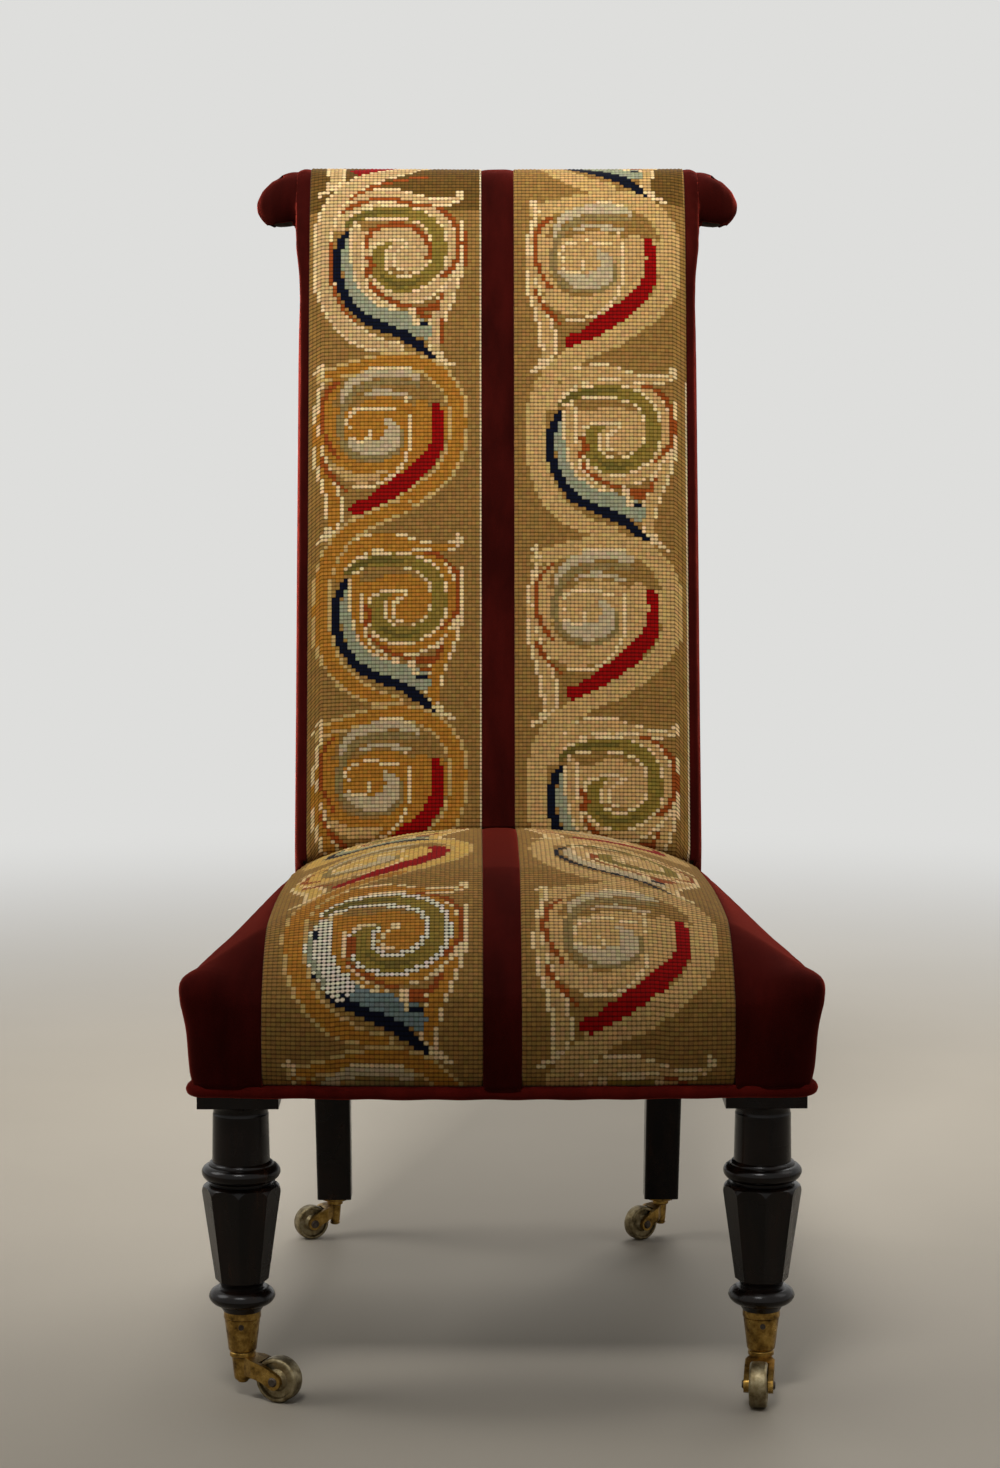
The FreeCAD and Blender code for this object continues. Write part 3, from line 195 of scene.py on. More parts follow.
def makeBrass(name, bright, dull, dirt, roughLow, roughHigh):
    mat, tree, shader = startMaterial(name, Metallic=1.0, Roughness=0.35)
    point = objectPoint(tree)
    patch = noise(tree, point, 130.0, 5.0, 0.6)
    fine = noise(tree, point, 900.0, 3.0)
    colour = ramp(tree, patch, [(0.28, dirt), (0.46, dull), (0.68, bright)])
    colour = mixColour(tree, sums(tree, "MULTIPLY", fine, 0.35), colour, dirt)
    tree.links.new(colour, shader.inputs["Base Color"])
    rough = ramp(tree, patch, [(0.3, grey(roughHigh)), (0.7, grey(roughLow))])
    tree.links.new(rough, shader.inputs["Roughness"])
    bumpFrom(tree, shader, fine, 0.12, 0.0003)
    return mat


def makeVelvet(name, pile, worn, nap):
    mat, tree, shader = startMaterial(name, Roughness=0.9, Specular_IOR_Level=0.03, Sheen_Weight=0.75,
                                      Sheen_Roughness=0.36, Sheen_Tint=nap)
    brushed = noise(tree, objectPoint(tree, scale=(1.0, 0.35, 0.35)), 26.0, 4.0, 0.6)
    tufts = noise(tree, objectPoint(tree), 1500.0, 2.0)
    colour = ramp(tree, brushed, [(0.35, pile), (0.72, worn)])
    dark = ramp(tree, tufts, [(0.3, grey(0.62)), (0.7, grey(1.0))])
    colour = mixColour(tree, 0.8, colour, dark, "MULTIPLY")
    tree.links.new(colour, shader.inputs["Base Color"])
    bumpFrom(tree, shader, tufts, 0.35, 0.0006)
    return mat


def fromMiddle(tree, value):
    return sums(tree, "ABSOLUTE", sums(tree, "SUBTRACT", sums(tree, "FRACT", value), 0.5))


def makeNeedlework():
    mat, tree, shader = startMaterial("woolNeedlework", Roughness=0.88, Specular_IOR_Level=0.04,
                                      Sheen_Weight=0.04, Sheen_Roughness=0.5)
    wool = addNode(tree, "ShaderNodeAttribute", {"attribute_name": "wool"})
    cell = addNode(tree, "ShaderNodeUVMap", {"uv_map": "stitches"})
    split = addNode(tree, "ShaderNodeSeparateXYZ", Vector=cell.outputs["UV"])
    across, along = fromMiddle(tree, split.outputs["X"]), fromMiddle(tree, split.outputs["Y"])
    # painted shade: the wool is darkened in the valleys between stitches, more between rows than between
    # columns
    rowGapShade = ramp(tree, along, [(0.24, grey(1.0)), (0.5, grey(0.26))])    # dark line between rows
    colGapShade = ramp(tree, across, [(0.34, grey(1.0)), (0.5, grey(0.62))])   # softer between columns
    corner = sums(tree, "MULTIPLY", across, along)
    # the canvas shows its holes where wool is thin; the holes are real, the dark in them is painted shade
    hole = ramp(tree, corner, [(0.035, grey(1.0)), (0.13, grey(0.04))])
    paintedGapShade = mixColour(tree, 1.0, rowGapShade, colGapShade, "MULTIPLY")
    paintedGapShade = mixColour(tree, wool.outputs["Alpha"], paintedGapShade, hole, "MULTIPLY")
    fibre = noise(tree, objectPoint(tree), 1100.0, 3.0)
    fuzz = ramp(tree, fibre, [(0.3, grey(0.78)), (0.7, grey(1.12))])
    colour = mixColour(tree, 1.0, wool.outputs["Color"], paintedGapShade, "MULTIPLY")
    colour = mixColour(tree, 1.0, colour, fuzz, "MULTIPLY")
    tree.links.new(colour, shader.inputs["Base Color"])
    bumpFrom(tree, shader, fibre, 0.3, 0.0006)
    return mat


def makeCloth(name, light, dark, threads):
    # a plain weave in two directions
    mat, tree, shader = startMaterial(name, Roughness=0.9, Specular_IOR_Level=0.15)
    point = objectPoint(tree)
    wave = {"Vector": point, "Scale": threads, "Distortion": 0.6}
    warp = addNode(tree, "ShaderNodeTexWave", {"bands_direction": "X"}, **wave)
    weft = addNode(tree, "ShaderNodeTexWave", {"bands_direction": "Y"}, **wave)
    weave = sums(tree, "MULTIPLY", warp.outputs["Fac"], weft.outputs["Fac"])
    slub = noise(tree, point, 180.0, 4.0)
    mottle = sums(tree, "MULTIPLY", sums(tree, "ADD", weave, slub), 0.6)
    colour = ramp(tree, mottle, [(0.2, dark), (0.7, light)])
    tree.links.new(colour, shader.inputs["Base Color"])
    bumpFrom(tree, shader, weave, 0.5, 0.0005)
    return mat


woodPolish = makeWood()
insideWood = makeInsideWood()
brassAged = makeBrass("agedBrass", shade(196, 160, 86), shade(140, 108, 52), shade(52, 39, 19), 0.24, 0.5)
brassWheel = makeBrass("wornWheel", shade(158, 146, 116), shade(122, 108, 78), shade(58, 46, 30), 0.38, 0.62)
steelDark = makeBrass("darkSteel", shade(92, 84, 76), shade(60, 52, 46), shade(28, 22, 18), 0.4, 0.65)
velvet = makeVelvet("burgundyVelvet", shade(38, 4, 2), shade(60, 10, 6), shade(208, 76, 60))
# the piping's velvet is a lighter copy of the burgundy velvet: painted light for the highlight along the
# piping
litPipingVelvet = makeVelvet("litPipingVelvet", shade(70, 12, 8), shade(98, 22, 16), shade(214, 80, 62))
needlework = makeNeedlework()
blackCloth = makeCloth("blackCotton", shade(34, 32, 31), shade(14, 13, 13), 700.0)
jute = makeCloth("jute", shade(168, 130, 84), shade(98, 70, 40), 420.0)
hair = makeCloth("hairStuffing", shade(70, 56, 44), shade(24, 18, 14), 300.0)
print("materials made:", len(bpy.data.materials))


def dressNode(name, mat):
    slots = nodes[name].data.materials
    slots.clear()
    slots.append(mat)


insideNames = ("seat_rail", "corner_block_front", "corner_block_rear", "back_rail", "crest_rail", "crest_dow")
for name in nodes:
    if name.startswith(("front_leg", "back_post")):
        dressNode(name, woodPolish)
    elif name.startswith(insideNames):
        dressNode(name, insideWood)
    elif "wheel" in name:
        dressNode(name, brassWheel)
    elif "screws" in name or "springs" in name or "axle" in name:
        dressNode(name, steelDark)
    elif name.startswith("caster"):
        dressNode(name, brassAged)
    elif "webbing" in name or "hessian" in name:
        dressNode(name, jute)
    elif "stuffing" in name:
        dressNode(name, hair)
    elif name == "bottom_cloth":
        dressNode(name, blackCloth)
    elif "needlework" not in name:
        dressNode(name, velvet)


# Helpers for pieces

def addPiece(name, mesh, mat, body="chair"):
    piece = bpy.data.objects.new(name, mesh)
    scene.collection.objects.link(piece)
    mesh.materials.clear()
    mesh.materials.append(mat)
    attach(piece, body)
    return piece


def meshFrom(bm, name):
    mesh = bpy.data.meshes.new(name)
    bm.to_mesh(mesh)
    bm.free()
    mesh.shade_smooth()
    return mesh


def coordsOf(mesh):
    co = np.zeros(len(mesh.vertices) * 3, np.float32)
    mesh.vertices.foreach_get("co", co)
    return co.reshape(-1, 3).astype(float)


def setCoords(mesh, co):
    mesh.vertices.foreach_set("co", np.asarray(co, np.float32).ravel())
    mesh.update()


def normalsOf(mesh):
    normals = np.zeros(len(mesh.vertices) * 3, np.float32)
    mesh.vertices.foreach_get("normal", normals)
    return normals.reshape(-1, 3)


def relax(bm, verts, times):
    for step in range(times):
        bmesh.ops.smooth_vert(bm, verts=verts, factor=0.5, use_axis_x=True, use_axis_y=True, use_axis_z=True)


def everything(bm):
    return bm.verts[:] + bm.edges[:] + bm.faces[:]


def thicken(piece, thickness):
    thick = piece.modifiers.new("thick", "SOLIDIFY")
    thick.thickness = thickness
    thick.offset = -1.0


# Soft forms: each starts from its solid, is remeshed and swollen as stuffed cloth

swell = {"voxel": 0.005, "pressure": 4.0, "frames": 20, "seatCap": 0.0032, "backCap": 0.0026, "relax": 3}
# the sides draw in towards the piping
seatLean = {"from": 0.325, "pullIn": 0.0035, "half": 0.246}
# a fuller fold where the top meets the sides, and lifted in the front part of the seat
seatEdge = {"y": (-0.33, -0.2, 0.0, 0.14), "z": (0.318, 0.339, 0.354, 0.362), "reach": 0.014, "push": 0.0065,
            "from": 0.215, "to": 0.245, "lift": 0.6, "liftUpTo": -0.1}
# and where it meets the front
frontCorner = {"y": -0.300, "z": 0.326, "reach": 0.024, "out": 0.005, "up": 0.010, "from": 0.187, "to": 0.232}
# the crest's ends hang a little
earDroop = {"from": 0.178, "to": 0.222, "by": 0.0065, "above": 0.93, "ease": 6, "easeReach": 0.012}
# the borders widen just under the crest
backFlare = {"low": 0.895, "high": 0.950, "spread": 0.005, "from": 0.150, "past": 0.003, "to": 0.227}


def mergedCopy(nodeName):
    bm = bmesh.new()
    bm.from_mesh(nodes[nodeName].data)
    bmesh.ops.remove_doubles(bm, verts=bm.verts, dist=1e-5)
    return bm


def remeshed(name, nodeName, voxel):
    rough = bpy.data.objects.new(name + "Rough", meshFrom(mergedCopy(nodeName), name + "Rough"))
    scene.collection.objects.link(rough)
    remesh = rough.modifiers.new("remesh", "REMESH")
    remesh.mode = "VOXEL"
    remesh.voxel_size = voxel
    depsgraph = bpy.context.evaluated_depsgraph_get()
    made = bpy.data.meshes.new_from_object(rough.evaluated_get(depsgraph))
    bpy.data.objects.remove(rough)
    made.name = name
    return made


def softForm(name, nodeName, cap):
    mesh = remeshed(name, nodeName, swell["voxel"])
    bm = bmesh.new()
    bm.from_mesh(mesh)
    relax(bm, bm.verts, swell["relax"])
    solid = mergedCopy(nodeName)
    skin = BVHTree.FromBMesh(solid)
    solid.free()
    for vert in bm.verts:        # back onto the solid, which the remesh and the smoothing shrank
        vert.co = skin.find_nearest(vert.co)[0]
    bm.to_mesh(mesh)
    bm.free()
    form = addPiece(name, mesh, hair)
    start = coordsOf(mesh)
    cloth = form.modifiers.new("swell", "CLOTH")
    cloth.settings.use_pressure = True
    cloth.settings.uniform_pressure_force = swell["pressure"]
    cloth.settings.effector_weights.gravity = 0.0
    cloth.point_cache.frame_end = swell["frames"]
    for step in range(1, swell["frames"] + 1):
        scene.frame_set(step)
    depsgraph = bpy.context.evaluated_depsgraph_get()
    puffed = coordsOf(form.evaluated_get(depsgraph).data)
    form.modifiers.clear()
    scene.frame_set(1)
    move = puffed - start
    reach = np.linalg.norm(move, axis=1, keepdims=True)
    move *= np.minimum(1.0, cap / np.maximum(reach, 1e-9))
    setCoords(mesh, start + move)
    mesh.shade_smooth()
    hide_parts(nodeName)
    print(name, "has", len(mesh.vertices), "points")
    return form


def easeStep(value, low, high):
    share = np.clip((value - low) / (high - low), 0.0, 1.0)
    return share * share * (3.0 - 2.0 * share)


seatForm = softForm("seatStuffing", "seat_stuffing", swell["seatCap"])
backForm = softForm("backStuffing", "back_stuffing", swell["backCap"])
co = coordsOf(seatForm.data)
lean = np.clip((seatLean["from"] - co[:, 2]) / (seatLean["from"] - chair["skirtBottom"]), 0.0, 1.0)
co[:, 0] *= 1.0 - seatLean["pullIn"] / seatLean["half"] * lean
fold = (co[:, 2] - np.interp(co[:, 1], seatEdge["y"], seatEdge["z"])) / seatEdge["reach"]
full = np.exp(-fold * fold) * easeStep(np.abs(co[:, 0]), seatEdge["from"], seatEdge["to"])
co[:, 0] += np.sign(co[:, 0]) * seatEdge["push"] * full
co[:, 2] += seatEdge["lift"] * seatEdge["push"] * full * (co[:, 1] < seatEdge["liftUpTo"])
away = np.hypot(co[:, 1] - frontCorner["y"], co[:, 2] - frontCorner["z"]) / frontCorner["reach"]
full = np.exp(-away * away) * easeStep(np.abs(co[:, 0]), frontCorner["from"], frontCorner["to"])
co[:, 1] -= frontCorner["out"] * full
co[:, 2] += frontCorner["up"] * full
setCoords(seatForm.data, co)
co = coordsOf(backForm.data)
out = np.abs(co[:, 0])
wide = easeStep(out, backFlare["from"], chair["backHalf"])
wide = wide * (1.0 - easeStep(out, chair["backHalf"] + backFlare["past"], backFlare["to"]))
wide *= easeStep(co[:, 2], backFlare["low"], backFlare["high"])
co[:, 0] += np.sign(co[:, 0]) * backFlare["spread"] * wide
co[:, 2] -= earDroop["by"] * easeStep(out, earDroop["from"], earDroop["to"]) * (co[:, 2] > earDroop["above"])
setCoords(backForm.data, co)
bm = bmesh.new()
bm.from_mesh(backForm.data)
endFrom = earDroop["to"] - earDroop["easeReach"]
ends = [vert for vert in bm.verts if abs(vert.co.x) > endFrom and vert.co.z > earDroop["above"]]
relax(bm, ends, earDroop["ease"])
bm.to_mesh(backForm.data)
bm.free()


def treeOf(piece):
    bm = bmesh.new()
    bm.from_mesh(piece.data)
    made = BVHTree.FromBMesh(bm)
    bm.free()
    return made


seatTree = treeOf(seatForm)
backTree = treeOf(backForm)


# Velvet panels are cut from the skin of a form

velvetCut = {"lift": 0.0006, "thick": 0.0016, "seamReach": 0.007, "seamDrop": 0.0013, "tuck": 0.0024,
             "hemReach": 0.007, "hemUp": 0.0006}
skinCast = {"off": 0.001, "reach": 0.014, "down": -0.8}
hollow = {"seatBelow": 0.32, "backBelow": 0.94, "backWithin": 0.17, "backFacing": 0.2}
earCut = {"seamOut": 0.0015, "foot": 0.9465}


def insideSeat(spot, normal):
    inwards = normal.x * spot.x + normal.y * (spot.y - chair["seatMiddle"]) < 0.0
    return spot.z < hollow["seatBelow"] and inwards


def insideBack(spot, normal):
    within = spot.z < hollow["backBelow"] and abs(spot.x) < hollow["backWithin"]
    return within and normal.y > hollow["backFacing"]


def outerSkin(form, isInside):
    # the form without the faces that look at the frame, into a hollow or straight down
    bm = bmesh.new()
    frameNames = ("back_post", "back_rail", "crest_", "seat_rail", "front_leg")
    inner = [name for name in nodes if name.startswith(frameNames)]
    inner += ["back_hessian", "seat_hessian"]
    for name in inner:
        if "cap" not in name:
            bm.from_mesh(nodes[name].data)
    bm.from_mesh(seatForm.data)
    bm.from_mesh(backForm.data)
    around = BVHTree.FromBMesh(bm)
    bm.clear()
    bm.from_mesh(form.data)
    bm.normal_update()
    hidden = []
    for face in bm.faces:
        middle = face.calc_center_median()
        hit = around.ray_cast(middle + face.normal * skinCast["off"], face.normal, skinCast["reach"])
        if hit[0] is not None or face.normal.z < skinCast["down"] or isInside(middle, face.normal):
            hidden.append(face)
    bmesh.ops.delete(bm, geom=hidden, context="FACES")
    return meshFrom(bm, form.name + "Skin")


def cutPanel(name, skin, planes, seams, drop=None, rests="seatStuffing"):
    # planes cut away what lies behind them; drop says which other faces go
    bm = bmesh.new()
    bm.from_mesh(skin)
    for point, normal in planes:
        bmesh.ops.bisect_plane(bm, geom=everything(bm), plane_co=point, plane_no=normal, clear_inner=True,
                               dist=1e-6)
    if drop:
        side = math.copysign(earSeam, planes[0][0][0])
        bmesh.ops.bisect_plane(bm, geom=everything(bm), plane_co=(side, 0, 0), plane_no=(1, 0, 0))
        gone = [face for face in bm.faces if drop(face.calc_center_median())]
        bmesh.ops.delete(bm, geom=gone, context="FACES")
    hemTop = chair["skirtBottom"] + velvetCut["hemReach"]
    for vert in bm.verts:
        if rests == "seatStuffing" and vert.is_boundary and vert.co.z < hemTop:
            vert.co.z = chair["skirtBottom"] - velvetCut["tuck"]
    bm.normal_update()
    for vert in bm.verts:
        away = min(abs(abs(vert.co.x) - seam) for seam in seams)
        dip = max(0.0, 1.0 - away / velvetCut["seamReach"]) ** 2 * velvetCut["seamDrop"]
        vert.co += vert.normal * (velvetCut["lift"] + velvetCut["thick"] - dip)
    piece = addPiece(name, meshFrom(bm, name), velvet)
    smooth = piece.modifiers.new("smooth", "SUBSURF")
    smooth.levels = 1
    smooth.render_levels = 1
    thicken(piece, velvetCut["thick"])
    asCloth(piece)
    return piece


def asCloth(piece):
    # reads the points of the piece and makes nothing from them
    co = coordsOf(piece.data)


def above(x):
    return ((x, 0.0, 0.0), (1.0, 0.0, 0.0))


def below(x):
    return ((x, 0.0, 0.0), (-1.0, 0.0, 0.0))


band = chair["bandHalf"]
backEdge = chair["backEdge"]
edgeLeft, edgeRight = chair["seatEdgeLeft"], chair["seatEdgeRight"]
earSeam = chair["backHalf"] + earCut["seamOut"]
foot = ((0.0, 0.0, chair["skirtBottom"] + velvetCut["hemUp"]), (0.0, 0.0, 1.0))
seatSkin = outerSkin(seatForm, insideSeat)
backSkin = outerSkin(backForm, insideBack)
seatVelvetRight = cutPanel("seatVelvetRight", seatSkin, [above(edgeRight), foot], [edgeRight])
seatVelvetLeft = cutPanel("seatVelvetLeft", seatSkin, [below(-edgeLeft), foot], [edgeLeft])
seatVelvetCentre = cutPanel("seatVelvetCentre", seatSkin, [above(-band), below(band), foot], [band])
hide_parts("seat_velvet_right")
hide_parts("seat_velvet_left")
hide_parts("seat_velvet_centre")
print("seat velvet cut")


def onEar(spot):
    return abs(spot.x) > earSeam and spot.z > earCut["foot"]


def offEar(spot):
    return not onEar(spot)


rightBack = [above(backEdge)]
leftBack = [below(-backEdge)]
backVelvetRight = cutPanel("backVelvetRight", backSkin, rightBack, [backEdge, earSeam], onEar, "backStuffing")
backVelvetLeft = cutPanel("backVelvetLeft", backSkin, leftBack, [backEdge, earSeam], onEar, "backStuffing")
centreBack = [above(-band), below(band)]
backVelvetCentre = cutPanel("backVelvetCentre", backSkin, centreBack, [band], None, "backStuffing")
crestCapRight = cutPanel("crestCapRight", backSkin, rightBack, [earSeam], offEar, "backStuffing")
crestCapLeft = cutPanel("crestCapLeft", backSkin, leftBack, [earSeam], offEar, "backStuffing")
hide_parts("back_velvet_right")
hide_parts("back_velvet_left")
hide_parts("back_velvet_centre")
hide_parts("crest_cap_right")
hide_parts("crest_cap_left")
print("back velvet cut")


# Needlework: a running scroll worked stitch by stitch

# slate is the blue leaf's wool darkened as painted shade
wools = {
    "ground": (132, 98, 48), "olive": (92, 66, 26), "gold": (154, 102, 34), "cream": (180, 147, 98),
    "pale": (208, 178, 128), "rust": (130, 62, 22), "green": (122, 100, 40), "greenDeep": (96, 82, 34),
    "blue": (134, 134, 106), "slate": (100, 112, 108), "navy": (8, 11, 24), "crimson": (126, 5, 4),
    "grey": (170, 150, 114), "greyDeep": (128, 106, 62), "beige": (178, 141, 86), "straw": (184, 146, 72),
    "edge": (176, 144, 86), "canvas": (206, 182, 140), "bare": (204, 192, 166),
}
woolNames = list(wools)
# how far the canvas, and the painted shade in its holes, show through
holes = {"pale": 0.55, "bare": 1.0, "cream": 0.35, "beige": 0.35, "canvas": 0.5}


# Two scrolls follow each other up a strip, each drawn about the eye of its volute: u towards the volute's
# open side and v up, in stitches. A stroke is a wool, the points along its middle and its half width.
blueScroll = {
    "offset": 2.9,
    "stem": [(0, 26.8), (-6, 24.4), (-11, 21.8), (-15.6, 18.2), (-19, 13), (-20.8, 6.6), (-21.1, -0.5),
        (-20.4, -8), (-18.4, -14.3), (-15.2, -19.2), (-10.8, -22.7), (-6.3, -24.5), (-1.9, -25.2)],
    "leaf": [(-15, 15.6), (-9, 17.8), (-3, 18), (2.4, 16.4), (6.6, 15.4), (10.8, 15.6), (13.6, 17),
        (13.5, 19)],
    "ring": [(-7.3, -8), (-5, -10.1), (-0.6, -11.5), (4.4, -10.5), (8.3, -7.3), (10.8, -3.1), (11.4, 3.1),
        (10.2, 8), (7, 12.6), (2.5, 13.9), (-3.2, 14.5), (-8.9, 13.6), (-13.3, 11.2)],
    "tail": [(14, 9.5), (14.3, 3), (13.8, -2), (12, -7), (10, -12), (8, -17), (7, -22), (7.3, -25.5),
        (9, -28.3), (11.8, -30)],
    "crescent": [(-14.9, 6.3), (-16.8, 2.4), (-17.7, -2.4), (-16.8, -7.3), (-14.6, -12.2), (-11.4, -16.4),
        (-6.3, -19.2), (-0.6, -21.7), (3.2, -24.5), (7, -28)],
    "fill": [(-14.2, 5.5), (-15, 0.5), (-14.6, -4.5), (-12.9, -9.5), (-10, -13.6), (-6, -16.6), (-1, -18),
        (3.5, -19.8), (5, -21.5)],
    "lobe": [(-12.4, 7.7), (-12.7, 3.8), (-12.1, -1.7), (-11.7, -5.2), (-10.2, -9.4), (-6.3, -12.9),
        (-1.9, -14.7)],
    "volute": [(-15.2, 8.7), (-11.4, 11.2), (-6.3, 12.3), (-0.6, 12.2), (3.8, 10.8), (7, 8), (8.4, 3.8),
        (8.4, -0.3), (7, -3.8), (3.8, -6.6), (0, -8), (-3.8, -7.3), (-6.3, -5.2), (-7.3, -2.4), (-7, 0.3),
        (-5.7, 2.4), (-3.8, 3.1)],
    "eye": [(-7.6, 4.6), (-4, 6.2), (0, 6.2), (3, 4.2), (4, 1.2), (3, -1.6), (0.4, -2.6)],
    "eyeLine": [(-9.4, 2), (-6.3, 3.6), (-2, 4), (0.6, 3.2), (-1.9, 1.4), (-3.2, -0.7), (-2.8, -3.1),
        (-0.6, -4)],
}
redScroll = {
    "offset": 8.4,
    "stem": [(9.5, 14.6), (2.9, 16.4), (-3.5, 17.9), (-9.8, 18.7), (-16.2, 17.3), (-20.6, 13.9),
        (-23.5, 9.2), (-24.6, 3.7), (-24.4, -1.7), (-23.2, -7.1), (-20.6, -11.9), (-16.2, -16),
        (-11.1, -19.6), (-5.4, -22.6), (-0.3, -24.5)],
    "ring": [(6.2, 12.6), (8.6, 7), (8.6, 1), (7.4, -4.6), (4.2, -9), (-1, -11), (-6.5, -10.2),
        (-10.2, -6.6), (-11.6, -1), (-11.6, 6)],
    "tail": [(9.8, 13), (10.9, 7), (11.2, 0.3), (10.4, -6.5), (8.8, -12), (7.2, -17.3), (6.4, -22),
        (6.8, -25.6), (8.4, -28.3), (11, -29.8)],
    "crescent": [(-18.8, 5.8), (-19.7, 2.2), (-19.5, -2.4), (-18.1, -6.5), (-14.9, -10.5), (-11.1, -13.9),
        (-6.7, -17), (-3.5, -19.2), (0.3, -21.8)],
    "fill": [(-15.6, 6.4), (-16, 0), (-14.5, -6), (-11.5, -10.5), (-6.5, -14)],
    "inner": [(-11.7, 8.5), (-12.1, 0.3), (-11.7, -6.5), (-8.6, -11.9), (-3.5, -15), (1.6, -15.3)],
    "ringLine": [(-14.6, 12.2), (-8.1, 12.9), (-2, 12.1), (2, 9.7), (4.2, 5.9), (5.2, 1.6), (4.8, -2.2),
        (3, -5.4), (0, -7.3), (-4, -7.9), (-8.1, -6.7), (-10.4, -3.8), (-10.6, 0)],
    "brow": [(4.6, 7.2), (3.6, 10.8), (1.2, 13.4), (-3, 15), (-8.1, 15.6), (-12, 15), (-14.6, 13.9)],
    "browLow": [(-0.3, 9.2), (-5.4, 10.3), (-12.4, 9)],
    "pool": [(2.4, -3.9), (-0.3, -5.4), (-4.8, -5.4), (-7.8, -3.4), (-8, 0.6), (-6, 3)],
    "eyeLine": [(3, -1.7), (0.2, -3), (-2.2, -2), (-2, 0.4)],
    "eyeTop": [(2.9, 0.6), (3.2, 3), (1.6, 5.2), (-2.9, 5.9), (-9.2, 5.1)],
}
lowerLobe = [(7.3, -9.5), (3, -12.4), (-2, -13), (-6, -11.6)]


def curveThrough(points, steps=14):
    # a smooth run through the points
    p = np.array([points[0], *points, points[-1]], float)
    runs = []
    t = np.linspace(0.0, 1.0, steps, endpoint=False)[:, None]
    for a, b, c, d in zip(p[:-3], p[1:-2], p[2:-1], p[3:]):
        bend = (2 * a - 5 * b + 4 * c - d) * t ** 2
        twist = (3 * b - a - 3 * c + d) * t ** 3
        runs.append(0.5 * (2 * b + (c - a) * t + bend + twist))
    return np.vstack(runs + [p[-1:]])


def work(cloth, centre, hand, wool, points, widths):
    # fills every stitch whose centre lies inside the stroke
    run = curveThrough(points)
    share = np.linspace(0.0, 1.0, len(run))
    width = np.interp(share, np.linspace(0.0, 1.0, len(widths)), widths)
    cols = centre[0] + hand * run[:, 0]
    rows = centre[1] - run[:, 1]
    lowRow = max(0, int(rows.min() - 4))
    highRow = min(cloth.shape[0], int(rows.max() + 5))
    if highRow <= lowRow:
        return
    rr, cc = np.mgrid[lowRow:highRow, 0:cloth.shape[1]]
    away = np.hypot(rr[..., None] + 0.5 - rows, cc[..., None] + 0.5 - cols) - width
    block = cloth[lowRow:highRow]
    block[away.min(axis=2) < 0.0] = woolNames.index(wool)


